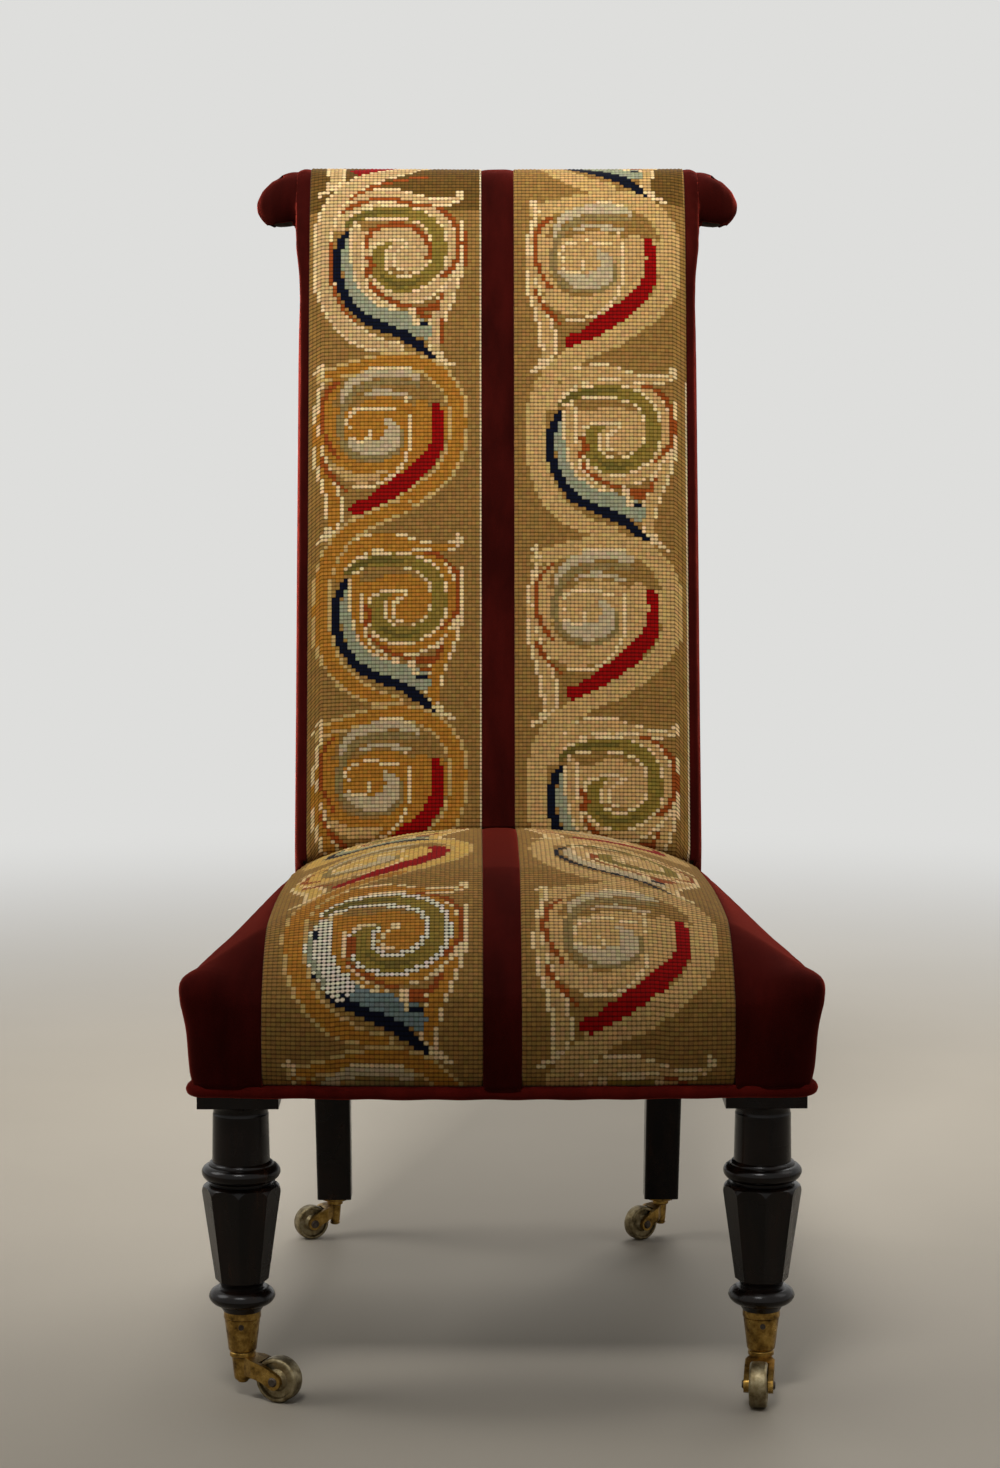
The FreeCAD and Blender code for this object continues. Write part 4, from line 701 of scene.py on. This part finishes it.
def workBlue(cloth, centre, stem, worn=False, faded=False):
    part = blueScroll
    rich = stem == "cream"
    edge = "pale" if rich else "edge"
    line = "bare" if worn else "pale"

    def stroke(wool, points, *widths):
        work(cloth, centre, 1, wool, points, widths)

    stroke("pale", part["leaf"], 0.8, 1.6, 1.8, 1.6, 1.5, 1.3, 0.9, 0.5)
    stroke(stem, part["leaf"], 0.5, 1.0, 1.1, 1.0, 0.8, 0.5, 0.2, 0.1)
    stroke(stem, [(-4, 2.4), (0.5, 1)], 11.5, 11.5)
    stroke(stem, [(-17, 8.4), (-13.6, 12.6), (-7, 15.4), (2, 14.8), (8, 12)], 1.6, 2.4, 2.4, 2.0, 1.6)
    stroke(edge, part["stem"], 2.0, 2.6, 2.6, 2.6, 2.6, 2.5, 1.5)
    stroke(stem, part["stem"], 1.5, 1.8, 1.8, 1.8, 1.8, 1.7, 0.8)
    stroke("pale", part["tail"], 0.5, 0.6, 0.9, 1.8, 2.2, 2.2, 2.0, 1.6, 0.8, 0.5)
    stroke(stem, part["tail"][3:8], 0.9, 1.4, 1.4, 0.9)
    stroke("pale", part["ring"], 1.0, 1.7, 2.0, 2.0, 2.0, 2.0, 1.9, 1.7, 1.4, 1.2, 0.9)
    stroke(stem, part["ring"], 0.5, 1.0, 1.3, 1.3, 1.3, 1.3, 1.2, 1.0, 0.8, 0.6, 0.5)
    stroke("rust", [(4.4, 14.3), (8.3, 13.4), (11.4, 10.6), (13.2, 6.6), (13.2, -0.3), (10.8, -4.5),
                    (9.2, -6)], 0.4, 0.7, 0.5)
    stroke("rust", [(2.5, -15), (7.3, -14.3)], 1.0, 0.9)
    stroke("rust", [(7.3, -14.3), (9.2, -10.8)], 0.8, 0.4)
    stroke("rust", [(3.8, -16.8), (6.3, -16.6)], 0.6, 0.5)
    # the worn scroll's leaf is filled with the darker blue, painted shade
    fill = "grey" if faded else "slate" if worn else "blue"
    stroke(fill, part["fill"], 0.5, 1.1, 1.3, 1.6, 2.0, 2.5, 2.8, 2.4, 1.2)
    navy = np.array([0.7, 1.0, 1.1, 1.1, 1.1, 1.2, 1.2, 1.3, 1.3, 0.4])
    stroke("navy", part["crescent"], *(navy * 0.55 if faded else navy))
    stroke("navy", [(3.5, -18.7), (5.1, -18.7)], 0.55, 0.55)
    stroke("pale", part["lobe"], 1.4, 1.8, 1.8, 1.7, 1.3, 1.0, 0.6)
    stroke(stem, part["lobe"], 0.7, 1.1, 1.1, 0.9, 0.5, 0.3, 0.2)
    stroke("pale", [(1.6, -15), (2.5, -18.3)], 1.0, 0.8)
    if worn:        # the wool has gone from the head of the blue leaf and left the canvas
        stroke("bare", part["crescent"][:6], 0.8, 1.1, 1.1, 0.8)
        stroke("blue", part["crescent"][1:5], 0.6, 0.7, 0.6)
        stroke("bare", part["fill"][:5], 1.0, 2.1, 2.5, 2.5, 2.0)
        stroke("navy", [(-16.8, 2.4), (-16.4, 1)], 0.5, 0.7)
        stroke(stem, part["lobe"][:5], 0.4, 0.9, 0.9, 0.6)
    outline = 1.25 if worn else 0.65
    green = np.array([0.5, 1.2, 1.6, 1.6, 1.6, 1.7, 1.8, 1.9, 2.0, 2.0, 1.9, 1.4, 0.5])
    stroke(line, part["volute"], *(green + outline * np.minimum(1.0, green / 1.5)))
    stroke("green", part["volute"], *green)
    stroke("greenDeep", part["volute"][:4], 0.5, 0.9, 0.5)
    stroke("greenDeep", part["volute"][9:13], 0.3, 0.8, 0.3)
    inner = 1.4 if worn else 2.1
    stroke(stem, part["eye"], inner - 0.5, inner, inner, inner, inner, inner)
    stroke(stem, [(0, 1.4), (1, 0.2)], 2.6, 2.6)
    stroke("pale", part["eyeLine"], 0.45, 0.5, 0.45)
    stroke("rust", [(-9.6, -0.2), (-8.9, -1.8), (-9, -3.5), (-9.8, -5)], 0.6, 1.0, 0.7)
    stroke("rust", [(-9.4, -7.3), (-7, -10.1), (-2.5, -12.9), (1.3, -14)], 0.4, 0.6, 0.4)
    if rich:
        stroke("rust", [(-15.9, 12.4), (-13.7, 13.8), (-10.2, 15.6), (-6.3, 16.4), (-3.2, 16.1), (0, 15.2),
                        (3.2, 14.3)], 0.6, 0.55)
        stroke("rust", [(-9.5, 2), (-9.5, 5.2), (-7.6, 7.7), (-3.8, 8.7), (0.6, 8.4), (3.8, 6.6), (5.7, 3.5),
                        (6.2, 0.3), (5.4, -1)], 0.6, 0.75, 0.6)
        stroke("rust", [(-18.6, 4), (-19, -3), (-18.3, -8.6), (-16.2, -13.8), (-12.8, -18)], 0.4, 0.5, 0.45)
        stroke("rust", [(-14, 16.6), (-9, 19.8), (-2, 22.3), (5, 23.7)], 0.4, 0.6, 0.4)
        stroke("rust", [(14.9, 6.6), (14.7, -2.4)], 0.5, 0.5)
        stroke("rust", [(9.6, -17.4), (9, -23.8)], 0.5, 0.5)


def workRed(cloth, centre, stem, bold=False):
    part = redScroll

    def stroke(wool, points, *widths):
        work(cloth, centre, -1, wool, points, widths)

    stroke(stem, [(0.5, 2), (-13, 1.6)], 10.5, 9.5)
    stroke("pale" if stem == "cream" else "edge", part["stem"], 1.8, 2.5, 2.6, 2.6, 2.6, 2.6, 2.4)
    stroke(stem, part["stem"], 0.9, 1.7, 1.8, 1.8, 1.8, 1.8, 1.8)
    stroke("pale", part["tail"], 0.5, 0.9, 1.3, 1.7, 2.0, 2.3, 2.4, 1.8, 0.9, 0.5)
    stroke(stem, part["tail"][1:8], 0.3, 0.7, 1.0, 1.4, 1.0)
    stroke("pale", [(9.2, 14.6), (9.9, 17.4), (11.2, 16.4)], 0.6, 0.6, 0.5)
    stroke(stem, part["ring"], 1.4, 1.8, 1.9, 1.9, 1.9, 1.9, 1.9, 1.8, 1.4)
    stroke("beige", lowerLobe, 0.8, 1.4, 1.4, 0.6)
    stroke(stem, part["fill"], 1.8, 2.4, 2.4, 2.4, 2.0)
    stroke("rust", [(6, 12.6), (8.9, 9.2), (10, 3), (8.6, -2.4), (6, -7.1)], 0.5, 0.6, 0.5)
    stroke("rust", [(9.5, -7.8), (8.6, -10.5), (5.4, -14.6), (3.2, -16.7)], 0.5, 0.6, 0.4)
    stroke("pale", part["inner"], 0.45, 0.5, 0.45)
    red = np.array([1.2, 1.4, 1.6, 1.9, 2.2, 2.3, 2.2, 1.7, 1.5])
    stroke("crimson", part["crescent"], *(red * 1.3 if bold else red))
    stroke("crimson", [(0.4, -20.6), (1.2, -21.4)], 1.5, 1.5)
    stroke("grey", part["brow"], 0.6, 1.0, 1.2, 1.3, 1.3, 1.2, 0.7)
    stroke("pale", [(-2.4, 16.7), (-8.1, 17), (-12.6, 16.5)], 0.3, 0.5, 0.4)
    stroke("grey", part["browLow"], 0.3, 0.9, 0.5)
    stroke("grey", part["pool"], 1.8, 2.6, 2.8, 2.4, 1.6, 0.6)
    stroke(stem, [(-1, 6.8), (-6, 7.8), (-11, 6.9)], 1.0, 1.3, 0.8)
    stroke("greyDeep", part["ringLine"], 0.6, 1.0, 1.0, 0.95, 0.9, 0.85, 0.8, 0.8, 0.7, 0.7, 0.65, 0.5, 0.4)
    stroke(stem, [(0.6, 1.6), (-0.2, 0.6)], 2.7, 2.5)
    stroke("pale", part["eyeTop"], 0.45, 0.5, 0.45)
    stroke("pale", part["eyeLine"], 0.45, 0.45)


def scrollCloth(cols, rows, firstRow, unit, blueFirst, stems, shift=(0.0, 0.0), olive=None):
    # stems name the wool of each scroll's stem, from the far end; olive is the corner worked in a darker wool
    cloth = np.zeros((rows, cols), int)
    middle = cols / 2 + shift[0]
    firstRow += shift[1]
    if olive:
        cloth[:int(olive[0]), olive[1]:] = woolNames.index("olive")
    blue = blueFirst
    row = firstRow
    for stem in stems:
        wool = stem.split()[-1]
        if blue:
            workBlue(cloth, (middle + blueScroll["offset"], row), wool, "worn" in stem, "faded" in stem)
        else:
            workRed(cloth, (middle - redScroll["offset"], row), wool, "bold" in stem)
        blue = not blue
        row += unit
    return cloth


rayRun = {"side": 0.0005, "jump": 0.015}
backRays = {"front": 200, "sweep": 40, "crest": 120, "ahead": 0.05}
seatRays = {"front": 40, "turn": 140, "crown": 160, "hem": 0.001, "before": -0.42, "turnY": -0.26,
            "turnZ": 0.300, "ahead": 0.16, "crownFrom": -0.258, "rearGap": 0.004, "over": 0.46}


def castRun(tree, x, path):
    # three rays side by side, so that none slips between two faces; the longest unbroken run is kept
    chains = []
    for start, aim in path:
        found = []
        for side in (-rayRun["side"], 0.0, rayRun["side"]):
            hit = tree.ray_cast(Vector((x + side, start[0], start[1])), Vector((0.0, aim[0], aim[1])))
            if hit[0] is not None:
                found.append((hit[3], hit[0].y, hit[0].z))
        if found:
            spot = min(found)[1:]
            near = [chain for chain in chains if math.dist(spot, chain[-1]) < rayRun["jump"]]
            if not near:
                near = [[]]
                chains += near
            near[0].append(spot)
    return np.array(max(chains, key=len))


def evenRun(points, count):
    # the same run with evenly spaced points
    for step in range(3):
        points[1:-1] = (points[:-2] + 2 * points[1:-1] + points[2:]) / 4
    gone = np.concatenate([[0.0], np.cumsum(np.linalg.norm(np.diff(points, axis=0), axis=1))])
    spots = np.linspace(0.0, gone[-1], count)
    even = [np.interp(spots, gone, points[:, axis]) for axis in (0, 1)]
    return np.stack(even, axis=1), gone[-1]


def backPath(fromZ, toAngle):
    # rays square to the back's outline: up the raked front, round the sweep, then over the crest
    rake = chair["rake"]
    reach = chair["sweepRadius"] - chair["rollRadius"]
    bent = rake + chair["sweep"]
    rollY, rollZ = chair["rollY"], chair["rollZ"]
    sweepY, sweepZ = rollY + reach * math.cos(bent), rollZ - reach * math.sin(bent)
    startY = sweepY - chair["sweepRadius"] * math.cos(rake)
    startZ = sweepZ + chair["sweepRadius"] * math.sin(rake)
    turns = []
    for z in np.linspace(fromZ, startZ, backRays["front"], endpoint=False):
        turns.append((startY + (z - startZ) * math.tan(rake), z, rake))
    for turn in np.linspace(rake, bent, backRays["sweep"], endpoint=False):
        out = chair["sweepRadius"]
        turns.append((sweepY - out * math.cos(turn), sweepZ + out * math.sin(turn), turn))
    for turn in np.linspace(bent, toAngle, backRays["crest"]):
        out = chair["rollRadius"]
        turns.append((rollY - out * math.cos(turn), rollZ + out * math.sin(turn), turn))
    ahead = backRays["ahead"]
    path = []
    for y, z, turn in turns:
        aim = (math.cos(turn), -math.sin(turn))
        path.append(((y - aim[0] * ahead, z - aim[1] * ahead), aim))
    return path


def seatPath():
    # rays onto the seat: up the front, round the front roll, then back along the crown
    rays = seatRays
    path = []
    for z in np.linspace(chair["skirtBottom"] + rays["hem"], rays["turnZ"], rays["front"]):
        path.append(((rays["before"], z), (1.0, 0.0)))
    for turn in np.linspace(0.0, math.pi / 2, rays["turn"]):
        aim = (math.cos(turn), -math.sin(turn))
        start = (rays["turnY"] - aim[0] * rays["ahead"], rays["turnZ"] - aim[1] * rays["ahead"])
        path.append((start, aim))
    for y in np.linspace(rays["crownFrom"], chair["seatRear"] - rays["rearGap"], rays["crown"]):
        path.append(((y, rays["over"]), (0.0, -1.0)))
    return path


# rises are shares of a stitch's height, at its middle, its sides and its ends
stitchwork = {"rise": 0.0008, "base": 0.0014, "edgeDrop": 0.0006, "thick": 0.001, "bed": 0.0012,
              "stations": 14, "uneven": 0.2, "sideRise": 0.45, "endRise": 0.1, "hole": 0.15,
              "dye": (0.86, 1.12), "hue": (0.93, 1.07)}


def stitchedStrip(name, tree, rests, path, low, high, cloth, seed, canvas=False):
    # cloth has its first row at the far end of the path; with canvas, its last column is half as wide
    rows, cols = cloth.shape
    fineRows, fineCols = 2 * rows + 1, 2 * cols + 1
    pitches = np.ones(fineCols - 1)
    if canvas:
        pitches[-2:] = 0.5
    spots = np.concatenate([[0.0], np.cumsum(pitches)])
    spots = low + (high - low) * spots / spots[-1]
    stations = np.linspace(low, high, stitchwork["stations"])
    runs = np.stack([evenRun(castRun(tree, x, path), fineRows)[0] for x in stations], axis=1)
    place = np.zeros((fineRows, fineCols, 3))
    place[..., 0] = spots
    for row in range(fineRows):
        place[row, :, 1] = np.interp(spots, stations, runs[row, :, 0])
        place[row, :, 2] = np.interp(spots, stations, runs[row, :, 1])
    normal = np.cross(np.gradient(place, axis=1), np.gradient(place, axis=0))
    normal /= np.linalg.norm(normal, axis=2, keepdims=True)
    draw = np.random.default_rng(seed)
    rise = np.zeros((fineRows, fineCols))
    rise[1::2, 1::2] = 1.0 + draw.uniform(-stitchwork["uneven"], stitchwork["uneven"], (rows, cols))
    rise[1::2, ::2] = stitchwork["sideRise"]
    rise[::2, 1::2] = stitchwork["endRise"]
    if rests == "seatStuffing":
        place[0, :, 2] -= velvetCut["tuck"]
    lift = stitchwork["base"] + rise * stitchwork["rise"]
    lift[:, [0, -1]] -= stitchwork["edgeDrop"]
    place += normal * lift[..., None]

    bm = bmesh.new()
    bmesh.ops.create_grid(bm, x_segments=2 * cols, y_segments=2 * rows, size=0.5)
    mesh = meshFrom(bm, name)
    flat = coordsOf(mesh)
    col = np.rint((flat[:, 0] + 0.5) * 2 * cols).astype(int)
    row = np.rint((flat[:, 1] + 0.5) * 2 * rows).astype(int)
    setCoords(mesh, place[row, col])
    corner = np.zeros(len(mesh.loops), np.int32)
    mesh.loops.foreach_get("vertex_index", corner)
    cornerCol = col[corner].reshape(-1, 4)
    cornerRow = row[corner].reshape(-1, 4)
    stitchCol = cornerCol.min(axis=1) // 2
    stitchRow = cornerRow.min(axis=1) // 2

    dyes = [shade(*wools[wool])[:3] + (holes.get(wool, stitchwork["hole"]),) for wool in woolNames]
    dyed = np.array(dyes)[cloth[::-1]]
    depth = draw.uniform(*stitchwork["dye"], (rows, cols, 1))
    dyed[..., :3] *= depth * draw.uniform(*stitchwork["hue"], (rows, cols, 3))
    colours = np.repeat(dyed[stitchRow, stitchCol], 4, axis=0)
    layer = mesh.color_attributes.new("wool", "FLOAT_COLOR", "CORNER")
    layer.data.foreach_set("color", colours.astype(np.float32).ravel())
    uv = mesh.uv_layers.new(name="stitches")
    cells = np.stack([cornerCol / 2.0, cornerRow / 2.0], axis=-1)
    uv.data.foreach_set("uv", cells.astype(np.float32).ravel())
    piece = addPiece(name, mesh, needlework)
    thicken(piece, stitchwork["thick"])
    return piece


def runLength(tree, x, path):
    return evenRun(castRun(tree, x, path), 50)[1]


def withCanvas(cloth, fromRow=0):
    # a thin bare edge of canvas on the right, from a row down
    bare = np.full((cloth.shape[0], 1), woolNames.index("canvas"))
    bare[:int(fromRow)] = woolNames.index("ground")
    return np.hstack([cloth, bare])


backStrips = {"bottom": 0.354, "overCrest": math.radians(230), "firstEye": 30.5, "unit": 47.3, "cols": 43,
              "row": 0.00347}
seatStrips = {"lastEye": 34.4, "unit": 47.3, "cols": 45, "row": 0.00364}
middleX = (band + backEdge) / 2
wholeBack = backPath(backStrips["bottom"], backStrips["overCrest"])
wholeSeat = seatPath()
backRun = runLength(backTree, middleX, wholeBack)
toTop = runLength(backTree, middleX, backPath(backStrips["bottom"], math.pi / 2))
backRows = int(round(backRun / backStrips["row"]))
overTop = (backRun - toTop) / backStrips["row"]
seatRows = int(round(runLength(seatTree, middleX, wholeSeat) / seatStrips["row"]))
firstEye = overTop + backStrips["firstEye"]
firstRow = firstEye - backStrips["unit"]
seatFirst = seatRows - seatStrips["lastEye"] - 2 * seatStrips["unit"]
print("rows of stitches: back", backRows, "of which over the crest", round(overTop, 1), "and seat", seatRows)
backCloth = (backStrips["cols"], backRows, firstRow, backStrips["unit"])
seatCloth = (seatStrips["cols"], seatRows, seatFirst, seatStrips["unit"])
leftStems = ["cream", "cream", "gold", "gold", "gold"]
leftBackCloth = scrollCloth(*backCloth, False, leftStems, olive=(firstEye - 12.5, 0))
rightBackCloth = scrollCloth(*backCloth, True, ["beige"] * 5, (2.1, 2.0), (firstEye - 14, 32))
leftSeatCloth = scrollCloth(*seatCloth, True, ["straw", "bold straw", "worn gold", "gold"], (1.8, -0.6))
rightSeatCloth = scrollCloth(*seatCloth, False, ["beige", "faded beige", "beige", "beige"], (0.8, 0.0))

leftBackCloth = withCanvas(leftBackCloth)
rightBackCloth = withCanvas(rightBackCloth, firstEye + 33)
onBack = (backTree, "backStuffing", wholeBack)
onSeat = (seatTree, "seatStuffing", wholeSeat)
backLeft = stitchedStrip("backNeedleworkLeft", *onBack, -backEdge, -band, leftBackCloth, 3, True)
backRight = stitchedStrip("backNeedleworkRight", *onBack, band, backEdge, rightBackCloth, 5, True)
seatLeft = stitchedStrip("seatNeedleworkLeft", *onSeat, -edgeLeft, -band, leftSeatCloth, 7)
seatRight = stitchedStrip("seatNeedleworkRight", *onSeat, band, edgeRight, rightSeatCloth, 9)
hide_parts("back_needlework_left")
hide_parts("back_needlework_right")
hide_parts("seat_needlework_left")
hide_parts("seat_needlework_right")
for form in (seatForm, backForm):
    setCoords(form.data, coordsOf(form.data) - normalsOf(form.data) * stitchwork["bed"])
for strip in (backLeft, backRight, seatLeft, seatRight):
    asCloth(strip)
print("needlework laid")


# Outside back: one plain sheet of velvet between the borders

outsideSheet = {"cols": 60, "rows": 110, "thick": 0.0016, "tuck": 0.010, "topGap": 0.0015,
                "hem": 0.001, "behind": 0.6, "lift": 0.0004}
outsideTree = treeOf(nodes["outside_back"])
low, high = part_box("outside_back")
bm = bmesh.new()
bmesh.ops.create_grid(bm, x_segments=outsideSheet["cols"], y_segments=outsideSheet["rows"], size=0.5)
topEdge = high[2] - outsideSheet["topGap"]
hem = outsideSheet["hem"]
for vert in bm.verts:
    x = low[0] + (high[0] - low[0]) * (vert.co.x + 0.5)
    z = low[2] + hem + (topEdge + outsideSheet["tuck"] - low[2] - hem) * (vert.co.y + 0.5)
    start = Vector((x, outsideSheet["behind"], min(z, topEdge)))
    hit = outsideTree.ray_cast(start, Vector((0.0, -1.0, 0.0)))
    beyond = max(0.0, z - topEdge)                  # the top edge is tucked up under the crest roll
    vert.co = hit[0] + Vector((0.0, outsideSheet["lift"], beyond))
bmesh.ops.reverse_faces(bm, faces=bm.faces)
outsideBack = addPiece("outsideBack", meshFrom(bm, "outsideBack"), velvet)
thicken(outsideBack, outsideSheet["thick"])
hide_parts("outside_back")
asCloth(outsideBack)


# Piping round the foot of the seat

pipingLook = {"voxel": 0.0016, "swell": 0.0010, "out": 0.0028, "waver": 0.0003, "waves": 34.0,
              "settle": 0.0002, "rear": 0.18}
pipingMesh = remeshed("seatPiping", "seat_piping", pipingLook["voxel"])
pipingMesh.shade_smooth()
co = coordsOf(pipingMesh)
co += normalsOf(pipingMesh) * pipingLook["swell"]
run = np.stack([co[:, 0], co[:, 1] - chair["seatMiddle"]], axis=1)
turn = np.arctan2(run[:, 1], run[:, 0])
run *= 1.0 + pipingLook["out"] / np.linalg.norm(run, axis=1, keepdims=True)
co[:, 0] = run[:, 0]
co[:, 1] = np.where(run[:, 1] > pipingLook["rear"], co[:, 1], run[:, 1] + chair["seatMiddle"])
co[:, 2] += pipingLook["waver"] * np.sin(turn * pipingLook["waves"]) - pipingLook["settle"]
setCoords(pipingMesh, co)
seatPiping = addPiece("seatPiping", pipingMesh, litPipingVelvet)
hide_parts("seat_piping")
print("piping and outside back made")


# Black cloth under the seat, sagging a little between its tacks

bottomCloth = {"step": 0.015, "sag": 0.004, "sagReach": 0.12, "sagEase": 0.8, "thick": 0.0008}
bm = mergedCopy("bottom_cloth")
bm.normal_update()
upper = [face for face in bm.faces if face.normal.z > -0.5]
bmesh.ops.delete(bm, geom=upper, context="FACES")
low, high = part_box("bottom_cloth")
for axis in (0, 1):
    normal = [0.0, 0.0, 0.0]
    normal[axis] = 1.0
    for spot in np.arange(low[axis] + bottomCloth["step"], high[axis], bottomCloth["step"]):
        place = [n * spot for n in normal]
        bmesh.ops.bisect_plane(bm, geom=everything(bm), plane_co=place, plane_no=normal, dist=1e-6)
rim = [vert for vert in bm.verts if vert.is_boundary]
for vert in bm.verts:
    near = min((vert.co - other.co).length for other in rim)
    vert.co.z -= bottomCloth["sag"] * min(1.0, near / bottomCloth["sagReach"]) ** bottomCloth["sagEase"]
bottom = addPiece("bottomCloth", meshFrom(bm, "bottomCloth"), blackCloth)
thicken(bottom, bottomCloth["thick"])
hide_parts("bottom_cloth")
asCloth(bottom)
print("bottom cloth tacked on")


# Floor, backdrop, light and camera

stageLook = {"floor": shade(182, 173, 158), "wall": shade(222, 222, 220), "ambient": 0.06,
             "near": 0.9, "far": 3.2}


def makeFloor():
    # a pale floor that fades into the backdrop away from the chair
    mat, tree, shader = startMaterial("paleFloor", Roughness=0.6, Specular_IOR_Level=0.15)
    point = objectPoint(tree)
    mottled = noise(tree, point, 3.0, 3.0)
    darker = tuple(c * 0.95 for c in stageLook["floor"][:3]) + (1.0,)
    colour = ramp(tree, mottled, [(0.3, darker), (0.7, stageLook["floor"])])
    tree.links.new(colour, shader.inputs["Base Color"])
    away = addNode(tree, "ShaderNodeVectorMath", {"operation": "LENGTH"})
    tree.links.new(point, away.inputs[0])
    reach = addNode(tree, "ShaderNodeMapRange", {"interpolation_type": "SMOOTHSTEP"},
                    Value=away.outputs["Value"], From_Min=stageLook["near"], From_Max=stageLook["far"])
    glow = addNode(tree, "ShaderNodeEmission", Color=stageLook["wall"], Strength=1.0)
    rays = addNode(tree, "ShaderNodeLightPath")
    seen = sums(tree, "MULTIPLY", reach.outputs["Result"], rays.outputs["Is Camera Ray"])
    blend = addNode(tree, "ShaderNodeMixShader", Fac=seen)
    tree.links.new(shader.outputs["BSDF"], blend.inputs[1])
    tree.links.new(glow.outputs["Emission"], blend.inputs[2])
    tree.links.new(blend.outputs["Shader"], tree.nodes["Material Output"].inputs["Surface"])
    return mat


bm = bmesh.new()
bmesh.ops.create_grid(bm, x_segments=2, y_segments=2, size=12.0)
floor = bpy.data.objects.new("floor", meshFrom(bm, "floor"))
floor.data.materials.append(makeFloor())
scene.collection.objects.link(floor)
floor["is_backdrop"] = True

world = bpy.data.worlds.new("studio")
scene.world = world
world.use_nodes = True
tree = world.node_tree
rays = addNode(tree, "ShaderNodeLightPath")
seen = sums(tree, "MAXIMUM", rays.outputs["Is Camera Ray"], rays.outputs["Is Glossy Ray"])
backdrop = mixColour(tree, seen, grey(stageLook["ambient"]), stageLook["wall"])
tree.links.new(backdrop, tree.nodes["Background"].inputs["Color"])


def addLamp(name, place, aim, size, power, spread=180.0):
    lamp = bpy.data.lights.new(name, "AREA")
    lamp.size = size
    lamp.energy = power
    lamp.spread = math.radians(spread)
    made = bpy.data.objects.new(name, lamp)
    made.location = place
    made.rotation_euler = (Vector(aim) - Vector(place)).to_track_quat("-Z", "Y").to_euler()
    scene.collection.objects.link(made)


addLamp("key", (-0.35, -1.7, 2.8), (0.0, 0.28, 1.16), 0.9, 11.2, 52.0)
addLamp("top", (-0.1, 0.05, 3.0), (0.0, 0.05, 0.4), 1.0, 12.0)
addLamp("left", (-2.3, -0.1, 2.2), (0.0, -0.05, 0.5), 1.4, 25.0)
addLamp("right", (2.3, -0.1, 2.2), (0.0, -0.05, 0.5), 1.4, 9.0)
addLamp("rear", (0.6, 1.8, 2.4), (0.0, 0.2, 0.5), 1.4, 20.0)

view = {"place": (-0.02, -2.773, 0.79), "down": 5.9, "turn": 0.4226, "focal": 3210.0 / 1468.0}
camera = bpy.data.cameras.new("camera")
camera.sensor_width = 36.0
camera.lens = view["focal"] * camera.sensor_width
cameraObject = bpy.data.objects.new("camera", camera)
cameraObject.location = view["place"]
cameraObject.rotation_euler = (math.radians(90.0 - view["down"]), 0.0, math.radians(-view["turn"]))
scene.collection.objects.link(cameraObject)
scene.camera = cameraObject
scene.view_settings.view_transform = "Standard"

low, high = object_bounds()
print("size:", [round(b - a, 4) for a, b in zip(low, high)])
